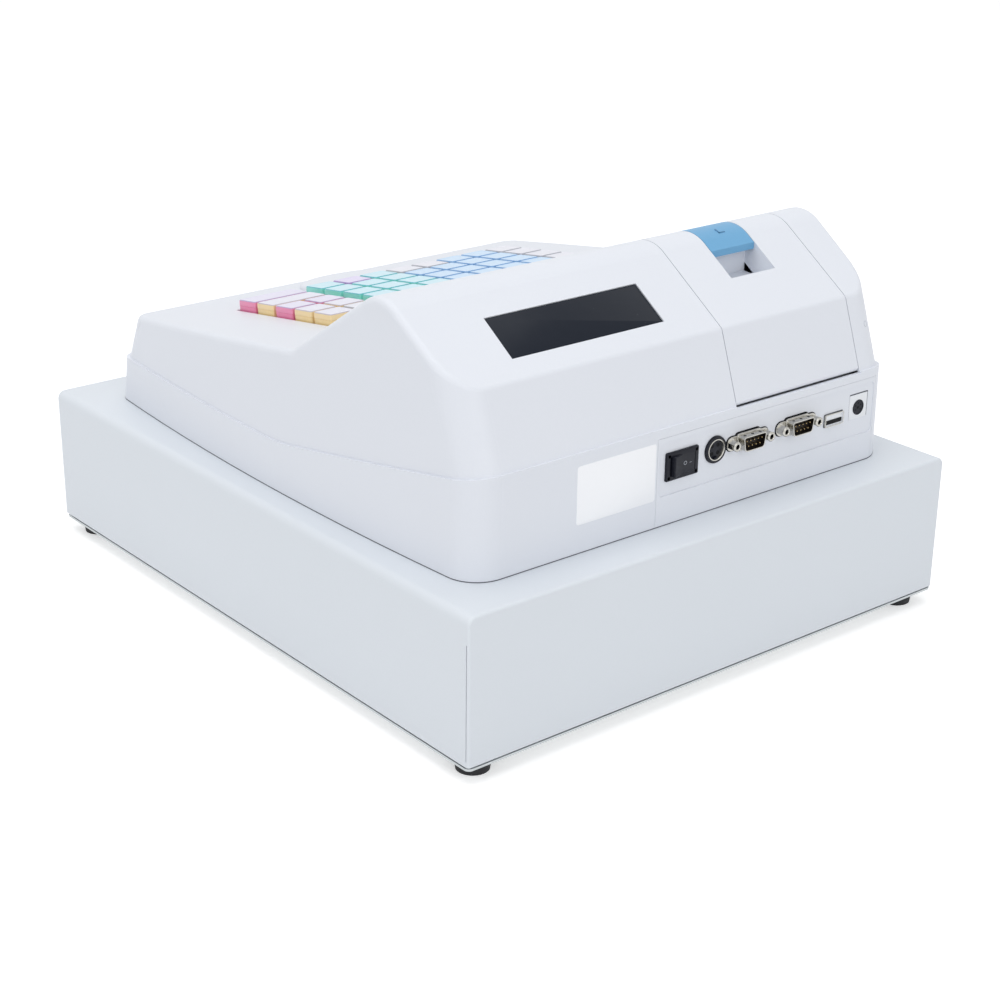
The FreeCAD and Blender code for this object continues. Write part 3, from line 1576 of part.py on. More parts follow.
def make_cover_latch(outer):
    """The latch: a curved skin that follows the cover, with a leg and a pivot pin on each side."""
    left = WELL_LEFT + S.latch_gap
    right = WELL_RIGHT - S.latch_gap
    top = S.ridge_z + S.overrun
    region = block_shape((left, S.latch_front_y, S.hinge_z), (right, S.latch_lip_y, top))
    pieces = []
    solid = outer.common(region)
    skin = solid.cut(upper_inside(S.latch_skin))
    platen_room = rod_shape((S.platen_y, S.platen_z), S.platen_radius + S.latch_leg_gap, left, right)
    legs = solid.cut([upper_inside(S.latch_leg_depth), platen_room])
    leg_rear = S.latch_pivot_y + (S.latch_pivot_y - S.latch_front_y)
    for low in (left, right - S.latch_leg_width):
        pieces.append(legs.common(block_shape((low, 0, 0), (low + S.latch_leg_width, leg_rear, top))))
    pivot = (S.latch_pivot_y, S.latch_pivot_z)
    reach = S.cover_rib - S.pin_gap
    pieces.append(rod_shape(pivot, S.hinge_pin_radius, WELL_LEFT - reach, left + S.latch_leg_width))
    pieces.append(rod_shape(pivot, S.hinge_pin_radius, right - S.latch_leg_width, WELL_RIGHT + reach))
    node("cover_latch", feature("cover_latch", skin.fuse(pieces).removeSplitter()))


def gear_shape(teeth, centre, start, tooth_angle):
    """A spur gear along x with one tooth at a given angle."""
    module = float(S.gear_module)
    pitch_radius = module * teeth / 2
    step = 2 * math.pi / teeth
    flank = (
        (-TOOTH_ROOT_HALF_SHARE, -TOOTH_ROOT_SHARE), (-TOOTH_TIP_HALF_SHARE, TOOTH_TIP_SHARE),
        (TOOTH_TIP_HALF_SHARE, TOOTH_TIP_SHARE), (TOOTH_ROOT_HALF_SHARE, -TOOTH_ROOT_SHARE),
    )
    points = []
    for tooth in range(teeth):
        for angle_share, depth_share in flank:
            angle = math.radians(tooth_angle) + step * (tooth + angle_share)
            radius = pitch_radius + module * depth_share
            points.append(Vector(
                float(start),
                float(centre[0]) + radius * math.cos(angle),
                float(centre[1]) + radius * math.sin(angle),
            ))
    face = Part.Face(Part.makePolygon([*points, points[0]]))
    return face.extrude(Vector(float(S.gear_width), 0, 0))


def gear_start():
    """The left side of the gear pair, between the printer frame's plates."""
    return platen_brackets()[0] - S.gear_plate_gap * 2 - S.gear_width


def mesh_angle():
    """The direction from the platen to the drive gear, in degrees."""
    return math.degrees(math.atan2(
        float(S.drive_gear_z - S.platen_z), float(S.drive_gear_y - S.platen_y),
    ))


def make_platen_roller():
    """The rubber platen on its shaft, with its gear on the left end."""
    centre = (S.platen_y, S.platen_z)
    half = S.platen_width / 2
    shaft_end = platen_brackets()[1] + S.cover_rib + S.gear_plate_gap
    gear = feature("platen_gear", gear_shape(PLATEN_TEETH, centre, gear_start(), mesh_angle()))
    roller = rod("platen_rubber", "x", centre, S.platen_radius, ROLL_X - half, ROLL_X + half)
    shaft = rod("platen_shaft", "x", centre, S.platen_shaft_radius, gear_start(), shaft_end)
    node("platen_roller", fuse("platen_roller", gear, roller, shaft))


def make_drive_gear():
    """The gear on the feed motor's shaft, in mesh with the platen's gear."""
    centre = (S.drive_gear_y, S.drive_gear_z)
    tooth_angle = mesh_angle() + 180 + 180 / DRIVE_TEETH
    gear = feature("drive_gear_blank", gear_shape(DRIVE_TEETH, centre, gear_start(), tooth_angle))
    bore = rod(
        "drive_gear_bore", "x", centre, S.motor_shaft_radius + S.pin_gap,
        gear_start() - S.overrun, gear_start() + S.gear_width + S.overrun,
    )
    node("drive_gear", cut("drive_gear", gear, bore))


def frame_plates():
    """The left side of the printer frame's outer, inner and right plates."""
    inner = gear_start() + S.gear_width + S.gear_plate_gap
    outer = gear_start() - S.gear_plate_gap - S.frame_plate
    right = platen_brackets()[1] - S.running_gap
    return outer, inner, right


def make_printer_frame():
    """The printer's steel frame: three side plates, a front plate and a shelf for the paper bucket."""
    outer, inner, right = frame_plates()
    side = [
        (S.frame_side_front_y, HEAD_FLOOR), (S.frame_side_rear_y, HEAD_FLOOR),
        (S.frame_side_rear_y, S.frame_shelf_z), (S.frame_shelf_rear_y, S.frame_shelf_z),
        (S.frame_shelf_rear_y, S.bucket_foot), (S.frame_side_rear_y, S.bucket_foot),
        (S.frame_side_rear_y - S.overrun, S.frame_top_z), (S.frame_side_front_y, S.frame_top_z),
    ]
    mount = [
        (S.frame_side_front_y, HEAD_FLOOR), (S.frame_side_rear_y, HEAD_FLOOR),
        (S.frame_side_rear_y - S.overrun, S.frame_top_z), (S.frame_side_front_y, S.frame_top_z),
    ]
    pieces = [
        prism("frame_outer", "yz", mount, outer, outer + S.frame_plate),
        prism("frame_inner", "yz", side, inner, inner + S.frame_plate),
        prism("frame_right", "yz", side, right, right + S.frame_plate),
        box(
            "frame_front",
            (inner, S.frame_front_y, HEAD_FLOOR),
            (right + S.frame_plate, S.frame_front_y + S.frame_plate, S.head_block_top),
        ),
        box(
            "frame_tie",
            (outer, S.frame_front_y, HEAD_FLOOR),
            (inner, S.frame_front_y + S.frame_plate, S.frame_shoulder_z),
        ),
    ]
    centre = (S.drive_gear_y, S.drive_gear_z)
    shaft_hole = rod(
        "motor_hole", "x", centre, S.motor_shaft_radius + S.pin_gap,
        outer - S.overrun, inner + S.frame_plate + S.running_gap,
    )
    node("printer_frame", cut("printer_frame", fuse("frame_solid", *pieces), shaft_hole))


def make_print_head():
    """The print head on the frame's front plate: a heat sink with upright fins and the heater strip."""
    left = frame_plates()[1] + S.frame_plate + S.running_gap
    right = frame_plates()[2] - S.running_gap
    front = S.frame_front_y + S.frame_plate
    rear = S.platen_y - S.platen_radius - S.running_gap
    block = box("head_block", (left, front, S.head_block_foot), (right, rear, S.head_block_top))
    pitch = (right - left) / HEAD_FINS
    groove_start, groove_end = GROOVE_SHARES
    groove_rear = front + (rear - front) * GROOVE_DEPTH_SHARE
    grooves = [
        box(
            "head_groove",
            (left + pitch * (index + groove_start), front - S.overrun, S.head_block_foot - S.overrun),
            (left + pitch * (index + groove_end), groove_rear, S.head_block_top - S.frame_plate),
        )
        for index in range(HEAD_FINS)
    ]
    node("print_head", cut("print_head", block, *grooves))


def make_feed_motor():
    """The stepping motor on the outer plate, with its shaft through both plates."""
    outer, inner, _ = frame_plates()
    centre = (S.drive_gear_y, S.drive_gear_z)
    body = rod("motor_can", "x", centre, S.motor_radius, outer - S.motor_length, outer)
    shaft = rod("motor_shaft", "x", centre, S.motor_shaft_radius, outer, inner)
    node("feed_motor", fuse("feed_motor", body, shaft))


def make_paper_bucket():
    """The trough that the paper roll lies in."""
    wall = S.cover_rib
    half = S.bucket_width / 2
    centre = (S.roll_y, S.roll_z)
    outer = S.bucket_radius + wall
    block = box(
        "bucket_block",
        (ROLL_X - half - wall, S.roll_y - outer, S.bucket_foot),
        (ROLL_X + half + wall, S.roll_y + outer, S.roll_z),
    )
    trough = rod("bucket_trough", "x", centre, S.bucket_radius, ROLL_X - half, ROLL_X + half)
    node("paper_bucket", cut("paper_bucket", block, trough))


def make_paper_roll():
    """The roll of paper on its core."""
    half = S.roll_width / 2
    node("paper_roll", tube(
        "paper_roll", "x", (S.roll_y, S.roll_z), S.roll_radius, S.core_radius, ROLL_X - half, ROLL_X + half,
    ))


def make_main_board():
    """The circuit board on its standoffs."""
    node("main_board", box(
        "main_board",
        (-S.board_left_x, S.board_front_y, BOARD_FOOT), (S.board_right_x, S.board_rear_y, S.board_top),
    ))


def make_port_panel():
    """The port panel: its recess and the holes for every port."""
    region = block_shape(
        (-S.panel_left_x, PANEL_BACK, CASE_TOP), (S.panel_right_x, HEAD_FAR_REAR, S.panel_top),
    )
    blank = feature("panel_blank", lower_outside().common(region))
    recess = box(
        "panel_recess",
        (-S.panel_left_x + S.recess_inset, PANEL_FACE, S.recess_foot),
        (S.panel_right_x - S.recess_inset, S.head_rear + S.overrun, S.recess_top),
    )
    rounded = fillet("panel_recess_rounded", recess, S.recess_corner_radius, lambda edge: is_along(edge, "y"))
    front, rear = PANEL_BACK - S.overrun, S.head_rear + S.overrun
    round_hole = rod(
        "round_hole", "y", (-S.socket_x, S.socket_z), S.socket_radius + S.panel_gap, front, rear,
    )
    holes = [round_hole]
    for x, z, half_x, half_z in (
        (S.bezel_x, S.bezel_z, S.bezel_width / 2 - S.bezel_wall, S.bezel_height / 2 - S.bezel_wall),
        (-S.serial_x, S.serial_z, S.serial_half_width, S.serial_half_height),
        (-S.serial_x - S.serial_pitch, S.serial_z, S.serial_half_width, S.serial_half_height),
        (-S.usb_x, S.usb_z, S.usb_half_width, S.usb_half_height),
        (-S.display_port_x, S.display_port_z, S.display_port_half, S.display_port_half),
    ):
        holes.append(box("port_hole", (x - half_x, front, z - half_z), (x + half_x, rear, z + half_z)))
    node("port_panel", cut("port_panel", blank, rounded, *holes))


def make_rocker_bezel():
    """The power switch's frame with its hollow body."""
    body = new_body("rocker_bezel")
    half_x, half_z = S.bezel_width / 2, S.bezel_height / 2
    steps = (
        (0, 0, S.bezel_proud),
        (S.bezel_wall, -S.bezel_depth, S.bezel_depth),
    )
    for inset, offset, length in steps:
        sketch = body_sketch(body, "XY_Plane", offset)
        draw_outline(sketch, rectangle(half_x - inset, half_z - inset))
        pad(body, sketch, length)
    cavity = body_sketch(body, "XY_Plane", S.bezel_proud)
    draw_outline(cavity, rectangle(
        S.rocker_half_width + S.rocker_play, S.rocker_half_height + S.running_gap,
    ))
    pocket(body, cavity, S.bezel_depth)
    pins = body_sketch(body, "XZ_Plane", -(S.rocker_half_height + S.bezel_wall))
    draw_circle(pins, (0, S.bezel_proud - S.rocker_pivot_depth), S.rocker_pin_radius + S.pin_gap)
    pocket(body, pins, 2 * (S.rocker_half_height + S.bezel_wall), reverse=True)
    body.Placement = Placement(Vector(), Rotation(Vector(1, 0, 0), -90))
    place(body, (S.bezel_x, PANEL_FACE, S.bezel_z))


def rectangle(half_across, half_up):
    """The four corners of a rectangle about its middle."""
    return [
        (-half_across, -half_up), (half_across, -half_up), (half_across, half_up), (-half_across, half_up),
    ]


def make_power_rocker():
    """The rocker: a shallow V across its width, rounded ends and pivot pins, resting tipped to one side."""
    half = S.rocker_half_width
    profile = [
        (-half, -S.rocker_back), (half, -S.rocker_back), (half, S.rocker_end),
        (0, S.rocker_valley), (-half, S.rocker_end),
    ]
    low, high = -S.rocker_half_height, S.rocker_half_height
    wedge = prism("rocker_wedge", "xy", profile, low, high)
    limit = rod("rocker_limit", "z", (0, 0), half, low, high)
    reach = S.rocker_half_height + S.bezel_wall - S.pin_gap
    pins = rod("rocker_pins", "z", (0, 0), S.rocker_pin_radius, -reach, reach)
    rocker = fuse("power_rocker", common("rocker_body", wedge, limit), pins)
    rocker.Placement = Placement(Vector(), Rotation(Vector(0, 0, 1), float(S.rocker_tilt)))
    bind(rocker, "Placement.Rotation.Angle", S.rocker_tilt)
    place(rocker, (S.bezel_x, PANEL_FACE + S.bezel_proud - S.rocker_pivot_depth, S.bezel_z))
    node("power_rocker", rocker)


def make_power_socket():
    """The round four-hole power socket with its key notch and a foot on the board."""
    centre = (-S.socket_x, S.socket_z)
    rear = S.head_rear + S.usb_proud
    front = rear - S.socket_depth
    ring = tube("socket_ring", "y", centre, S.socket_radius, S.socket_radius - S.socket_wall, front, rear)
    insert = rod("socket_insert", "y", centre, S.socket_radius - S.socket_wall, front, rear - 2 * S.socket_wall)
    holes = []
    for x_sign in (-1, 1):
        for z_sign in (-1, 1):
            spot = (
                -S.socket_x + S.socket_hole_offset * x_sign,
                S.socket_z + S.socket_hole_offset * z_sign,
            )
            holes.append(rod("socket_hole", "y", spot, S.socket_hole_radius, front + S.socket_wall, rear))
    foot = box(
        "socket_foot",
        (-S.socket_x - S.socket_foot_half_width, front, S.board_top),
        (
            -S.socket_x + S.socket_foot_half_width, PANEL_BACK - S.running_gap,
            S.socket_z - S.socket_foot_top_drop,
        ),
    )
    node("power_socket", fuse("power_socket", ring, cut("socket_holed", insert, *holes), foot))


def d_outline(x, z, grow):
    """The slanted outline of a nine-pin plug about its middle."""
    wide = S.serial_half_width + grow
    narrow = wide - S.serial_slant
    tall = S.serial_half_height + grow
    return [(x - narrow, z - tall), (x + narrow, z - tall), (x + wide, z + tall), (x - wide, z + tall)]


def serial_places():
    """The x of each nine-pin plug."""
    return (-S.serial_x, -S.serial_x - S.serial_pitch)


def make_serial_ports():
    """Two nine-pin plugs: flange, slanted shell, pins and a body that stands on the board."""
    flange_front = PANEL_FACE + S.serial_flange
    tip = flange_front + S.serial_proud
    ports = []
    for x in serial_places():
        flange = box(
            "serial_flange",
            (x - S.serial_flange_half_width, PANEL_FACE, S.serial_z - S.serial_flange_half_height),
            (x + S.serial_flange_half_width, flange_front, S.serial_z + S.serial_flange_half_height),
        )
        eased = fillet("serial_flange_eased", flange, S.recess_corner_radius, lambda edge: is_along(edge, "y"))
        shell = prism("serial_shell", "xz", d_outline(x, S.serial_z, 0), PANEL_FACE, tip)
        room = prism(
            "serial_room", "xz", d_outline(x, S.serial_z, -S.serial_wall), flange_front, tip + S.overrun,
        )
        neck = box(
            "serial_neck",
            (x - S.serial_half_width, PANEL_BACK - S.running_gap, S.serial_z - S.serial_half_height),
            (x + S.serial_half_width, PANEL_FACE, S.serial_z + S.serial_half_height),
        )
        body = box(
            "serial_body",
            (x - S.serial_flange_half_width, PANEL_BACK - S.serial_body_depth, S.board_top),
            (
                x + S.serial_flange_half_width, PANEL_BACK - S.running_gap,
                S.serial_z + S.serial_half_height,
            ),
        )
        pins = [
            serial_pin(x, column, row, flange_front) for row, count in PIN_ROWS for column in pin_columns(count)
        ]
        ports.append(fuse("serial_port", eased, cut("serial_open", shell, room), neck, body, *pins))
    node("serial_ports", group("serial_ports", ports))


def pin_columns(count):
    """The places of a row of pins, in pitches from the middle."""
    return [index - (count - 1) / 2 for index in range(count)]


def serial_pin(x, column, row, foot):
    """One contact pin of a nine-pin plug."""
    pin = DOC.addObject("Part::Prism", "serial_pin")
    pin.Polygon = 6
    pin.Placement = Placement(Vector(), AXIS_TURNS["y"])
    bind(pin, "Circumradius", S.serial_pin_radius)
    bind(pin, "Height", S.serial_proud - S.serial_pin_floor)
    place(pin, (x + S.serial_pin_pitch * column, foot, S.serial_z + S.serial_pin_row * row))
    return pin


def make_jack_nuts():
    """The hexagon nuts beside each nine-pin plug, bored for a plug's screws."""
    foot = PANEL_FACE + S.serial_flange
    nuts = []
    for x in serial_places():
        for side in (-1, 1):
            centre = (x + S.nut_spacing / 2 * side, S.serial_z)
            nut = DOC.addObject("Part::Prism", "nut_body")
            nut.Polygon = 6
            nut.Placement = Placement(Vector(), AXIS_TURNS["y"])
            bind(nut, "Circumradius", S.nut_flats / math.sqrt(3))
            bind(nut, "Height", S.nut_height)
            place(nut, (centre[0], foot, centre[1]))
            bore_rear = foot + S.nut_height + S.overrun
            bore = rod("nut_bore", "y", centre, S.nut_bore_radius, foot - S.overrun, bore_rear)
            nuts.append(cut("jack_nut", nut, bore))
    node("jack_nuts", group("jack_nuts", nuts))


def make_usb_port():
    """The USB port: a thin shell, its tongue and its legs on the board."""
    rear = S.head_rear + S.usb_proud
    front = rear - S.usb_depth
    left, right = -S.usb_x - S.usb_half_width, -S.usb_x + S.usb_half_width
    foot, top = S.usb_z - S.usb_half_height, S.usb_z + S.usb_half_height
    shell = box("usb_shell", (left, front, foot), (right, rear, top))
    room = box(
        "usb_room",
        (left + S.usb_wall, front + S.usb_wall, foot + S.usb_wall),
        (right - S.usb_wall, rear + S.overrun, top - S.usb_wall),
    )
    tongue = box(
        "usb_tongue",
        (left + 2 * S.usb_wall, front, S.usb_z - S.usb_wall),
        (right - 2 * S.usb_wall, rear - 2 * S.usb_wall, S.usb_z - S.usb_wall + S.usb_tongue),
    )
    legs = [
        box("usb_leg", (x, front, S.board_top), (x + S.usb_wall, PANEL_BACK - S.running_gap, foot))
        for x in (left, right - S.usb_wall)
    ]
    node("usb_port", fuse("usb_port", cut("usb_open", shell, room), tongue, *legs))


def make_display_port():
    """The square port for a separate display, with its round socket."""
    rear = S.head_rear + S.display_port_proud - S.recess_depth
    front = rear - S.display_port_depth
    centre = (-S.display_port_x, S.display_port_z)
    block = box(
        "display_port_block",
        (centre[0] - S.display_port_half, front, S.display_port_z - S.display_port_half),
        (centre[0] + S.display_port_half, rear, S.display_port_z + S.display_port_half),
    )
    well = rod("display_port_well", "y", centre, S.display_port_radius, front + S.head_wall, rear + S.overrun)
    insert = rod(
        "display_port_insert", "y", centre, S.display_port_radius - S.socket_wall, front, rear - S.socket_wall,
    )
    foot = box(
        "display_port_foot",
        (centre[0] - S.display_port_half, front, S.board_top),
        (
            centre[0] + S.display_port_half, PANEL_BACK - S.running_gap,
            S.display_port_z - S.display_port_half,
        ),
    )
    node("display_port", fuse("display_port", cut("display_port_open", block, well), insert, foot))


def pitch_middle(start, index):
    """The middle of one key's pitch, counted from the start of its row or column."""
    return start + S.key_pitch * (index + 1 / 2)


def key_solid(name, x, row, columns):
    """One key: tapered cap and its stems, level, with its place along the deck."""
    half_base = S.key_base / 2
    half_top = S.key_top / 2
    extra = S.key_pitch * ((columns - 1) / 2)
    middle_x = x + S.key_pitch * (columns / 2)
    middle_v = pitch_middle(S.key_rows_start, row)
    cap = DOC.addObject("Part::Wedge", f"{name}_cap")
    cap.Placement = Placement(Vector(), Rotation(Vector(1, 0, 0), 90))
    for prop, value in (
        ("Xmin", -half_base - extra), ("Xmax", half_base + extra),
        ("X2min", -half_top - extra), ("X2max", half_top + extra),
        ("Zmin", -half_base), ("Zmax", half_base), ("Z2min", -half_top), ("Z2max", half_top),
        ("Ymin", -S.key_below), ("Ymax", S.key_above),
    ):
        bind(cap, prop, value)
    place(cap, (middle_x, middle_v, 0))
    half_stem = S.key_stem / 2
    stems = []
    for column in pin_columns(columns):
        centre = middle_x + S.key_pitch * column
        stems.append(box(
            f"{name}_stem",
            (centre - half_stem, middle_v - half_stem, -S.key_below - S.key_stem_drop),
            (centre + half_stem, middle_v + half_stem, -S.key_below),
        ))
    return fuse(f"{name}_key", cap, *stems)


def make_keys():
    """The keys: five rows of the left block, two wide keys and six single keys on the right."""
    for row in range(KEY_ROWS):
        keys = [
            key_solid("left", S.key_pitch * column - S.left_block_x, row, 1) for column in range(LEFT_COLUMNS)
        ]
        name = f"key_row_{row + 1}"
        node(name, DECK.settle(group(name, keys), DECK.spot(0, 0, 0)))
    for row in range(WIDE_ROWS):
        key = key_solid("wide", S.right_block_x, row, RIGHT_COLUMNS)
        node(f"wide_key_{row + 1}", DECK.settle(key, DECK.spot(0, 0, 0)))
    for row in range(WIDE_ROWS, KEY_ROWS):
        for column, side in enumerate(("inner", "outer")):
            key = key_solid(side, S.right_block_x + S.key_pitch * column, row, 1)
            node(f"{side}_key_{row + 1}", DECK.settle(key, DECK.spot(0, 0, 0)))


def guide_field(margin):
    """The key guide's outline in x and along the deck."""
    low, _ = key_field(-S.left_block_x, LEFT_COLUMNS)
    _, high = key_field(S.right_block_x, RIGHT_COLUMNS)
    return (low[0] - margin, low[1] - margin), (high[0] + margin, high[1] + margin)


def make_key_guide():
    """The guide plate under the keys: rim up to the deck, legs down to the board, a hole for each stem."""
    low, high = guide_field(S.guide_margin)
    inner_low, inner_high = guide_field(S.guide_margin - S.guide_rim)
    rim = box("guide_rim", (*low, -S.board_depth), (*high, -S.head_wall))
    upper = box("guide_room", (*inner_low, -S.guide_depth), (*inner_high, S.overrun))
    lower = box(
        "guide_under", (*inner_low, -S.board_depth - S.overrun), (*inner_high, -S.guide_depth - S.guide_plate),
    )
    half = S.key_stem / 2 + S.stem_gap
    holes = []
    left_columns = [pitch_middle(-S.left_block_x, column) for column in range(LEFT_COLUMNS)]
    right_columns = [pitch_middle(S.right_block_x, column) for column in range(RIGHT_COLUMNS)]
    for row in range(KEY_ROWS):
        v = pitch_middle(S.key_rows_start, row)
        for x in left_columns + right_columns:
            holes.append(box(
                "stem_hole", (x - half, v - half, -S.board_depth), (x + half, v + half, 0),
            ))
    wide = [
        box(
            "wide_stem_hole",
            (right_columns[0] - half, pitch_middle(S.key_rows_start, row) - half, -S.board_depth),
            (right_columns[-1] + half, pitch_middle(S.key_rows_start, row) + half, 0),
        )
        for row in range(WIDE_ROWS)
    ]
    plate = cut("key_guide", rim, upper, lower, *holes, *wide)
    node("key_guide", DECK.settle(plate, DECK.spot(0, 0, 0)))


def make_key_board():
    """The key contact board under the guide."""
    low, high = guide_field(S.guide_margin)
    board = box("key_board", (*low, -S.board_depth - S.board_thickness), (*high, -S.board_depth))
    node("key_board", DECK.settle(board, DECK.spot(low[0], low[1], -S.board_depth - S.board_thickness)))


make_drawer_case()
make_base_pan()
make_rubber_feet()
make_case_rails()
make_front_rollers()
make_rear_rollers()
make_drawer_tray()
make_drawer_front()
make_lock_housing()
make_lock_barrel()
make_bill_tray()
make_coin_tray()
make_clip_rod()
make_bill_clips()
make_latch_lever()
make_plunger()
make_solenoid_body()
make_ejector_spring()

UPPER_OUTSIDE = upper_outside()
make_lower_housing()
make_upper_housing(UPPER_OUTSIDE)
make_window_pair(FALL, customer_field, "customer_window", "customer_display")
make_window_pair(RISE, operator_field, "operator_window", "operator_display")
make_printer_cover(UPPER_OUTSIDE)
make_cover_latch(UPPER_OUTSIDE)
make_platen_roller()
make_drive_gear()
make_printer_frame()
make_print_head()
make_feed_motor()
make_paper_bucket()
make_paper_roll()
make_main_board()
make_port_panel()
make_rocker_bezel()
make_power_rocker()
make_power_socket()
make_serial_ports()
make_jack_nuts()
make_usb_port()
make_display_port()
make_keys()
make_key_guide()
make_key_board()


def check_and_write():
    """Recompute, check every object and every piece, then write the pieces."""
    DOC.recompute()
    faults = [item.Name for item in DOC.Objects if {"Invalid", "Error"} & set(item.State)]
    for name, target in NODES.items():
        shape = target.Shape
        if shape.isNull() or not shape.isValid() or not shape.Solids:
            faults.append(name)
    if faults:
        raise RuntimeError(f"Failed objects: {', '.join(faults)}")
    os.makedirs("parts", exist_ok=True)
    for name, target in NODES.items():
        target.Shape.exportStep(f"parts/{name}.step")
        print(name, len(target.Shape.Solids), round(target.Shape.Volume, 1))
    print(len(NODES), "pieces")


check_and_write()
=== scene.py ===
import logging
import math
from collections.abc import Iterable, Sequence
from dataclasses import dataclass
from enum import Enum
from typing import Protocol

import bmesh
import bpy
from mathutils import Matrix, Vector
from mathutils.bvhtree import BVHTree


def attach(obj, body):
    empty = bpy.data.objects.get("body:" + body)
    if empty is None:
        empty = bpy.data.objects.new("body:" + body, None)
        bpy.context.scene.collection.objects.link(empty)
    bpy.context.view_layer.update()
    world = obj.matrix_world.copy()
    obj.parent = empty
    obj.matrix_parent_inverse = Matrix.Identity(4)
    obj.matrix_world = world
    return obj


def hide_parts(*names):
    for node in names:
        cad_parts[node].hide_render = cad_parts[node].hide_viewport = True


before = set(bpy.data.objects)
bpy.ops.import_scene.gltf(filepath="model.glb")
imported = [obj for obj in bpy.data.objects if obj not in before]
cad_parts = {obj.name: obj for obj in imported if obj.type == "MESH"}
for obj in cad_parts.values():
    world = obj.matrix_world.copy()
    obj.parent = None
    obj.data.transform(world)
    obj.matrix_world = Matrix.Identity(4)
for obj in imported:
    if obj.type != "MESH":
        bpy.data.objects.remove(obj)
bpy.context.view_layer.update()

# An electronic cash register on its cash drawer, seen from the customer's side. Sizes are in
# millimetres in the part's own frame and become metres when a piece is finished.

LOG = logging.getLogger("register")
MM = 0.001
TINY = 0.01
PLASTIC_IOR = 1.5
ACRYLIC_IOR = 1.49

Triple = tuple[float, float, float]
Pair = tuple[float, float]
Profile = tuple[Pair, ...]
Colour = tuple[float, float, float, float]


def srgb(red: int, green: int, blue: int) -> Colour:
    """Turn a colour as it is seen, 0 to 255, into the shader's linear values.

    Args:
        red: Red share.
        green: Green share.
        blue: Blue share.

    Returns:
        Linear red, green, blue and a full alpha.
    """
    def linear(value: float) -> float:
        return value / 12.92 if value <= 0.04045 else ((value + 0.055) / 1.055) ** 2.4

    return (linear(red / 255), linear(green / 255), linear(blue / 255), 1.0)


class Nodes:
    """A node tree under construction, with short ways to fill it."""

    tree: bpy.types.NodeTree

    def add(self, kind: str, **settings: object) -> bpy.types.Node:
        """Place a node.

        Args:
            kind: The node's type.
            **settings: Properties to set on it.

        Returns:
            The node.
        """
        node = self.tree.nodes.new(kind)
        for name, value in settings.items():
            setattr(node, name, value)
        return node

    def link(self, source: bpy.types.NodeSocket, target: bpy.types.NodeSocket) -> None:
        """Link one socket to another."""
        self.tree.links.new(source, target)


class Shader(Nodes):
    """A material under construction: its node tree and its Principled shader."""

    def __init__(self, name: str) -> None:
        """Start a material.

        Args:
            name: The finish's name.
        """
        self.material = bpy.data.materials.new(name)
        self.material.use_nodes = True
        self.tree = self.material.node_tree
        self.surface = self.tree.nodes["Principled BSDF"]

    def effect(self, group: bpy.types.NodeTree, **values: object) -> bpy.types.Node:
        """Place a shared effect with its own values.

        Args:
            group: The effect's node group.
            **values: Values for its inputs, by name with _ for a space.

        Returns:
            The group's node.
        """
        node = self.add("ShaderNodeGroup", node_tree=group)
        for name, value in values.items():
            node.inputs[name.replace("_", " ")].default_value = value
        return node

    def place(self) -> bpy.types.NodeSocket:
        """Give the socket of the piece's own coordinates."""
        return self.add("ShaderNodeTexCoord").outputs["Object"]

    def skin(self, group: bpy.types.NodeTree, **values: object) -> bpy.types.Node:
        """Lay a shared effect over the whole piece, for its colour and roughness.

        Args:
            group: The effect's node group.
            **values: Values for its inputs, by name with _ for a space.

        Returns:
            The group's node.
        """
        node = self.effect(group, **values)
        self.link(self.place(), node.inputs["Place"])
        self.link(node.outputs["Colour"], self.surface.inputs["Base Color"])
        self.link(node.outputs["Roughness"], self.surface.inputs["Roughness"])
        return node

    def set(self, **values: object) -> None:
        """Set constants on the Principled shader, by name with _ for a space."""
        for name, value in values.items():
            self.surface.inputs[name.replace("_", " ")].default_value = value

    def bump(self, height: bpy.types.NodeSocket, strength: float, distance: float) -> bpy.types.Node:
        """Feed a height to the shader's normal.

        Args:
            height: The height's socket.
            strength: How much of it counts.
            distance: The height of a full step, in metres.

        Returns:
            The bump node.
        """
        node = self.add("ShaderNodeBump")
        node.inputs["Strength"].default_value = strength
        node.inputs["Distance"].default_value = distance
        self.link(height, node.inputs["Height"])
        self.link(node.outputs["Normal"], self.surface.inputs["Normal"])
        return node


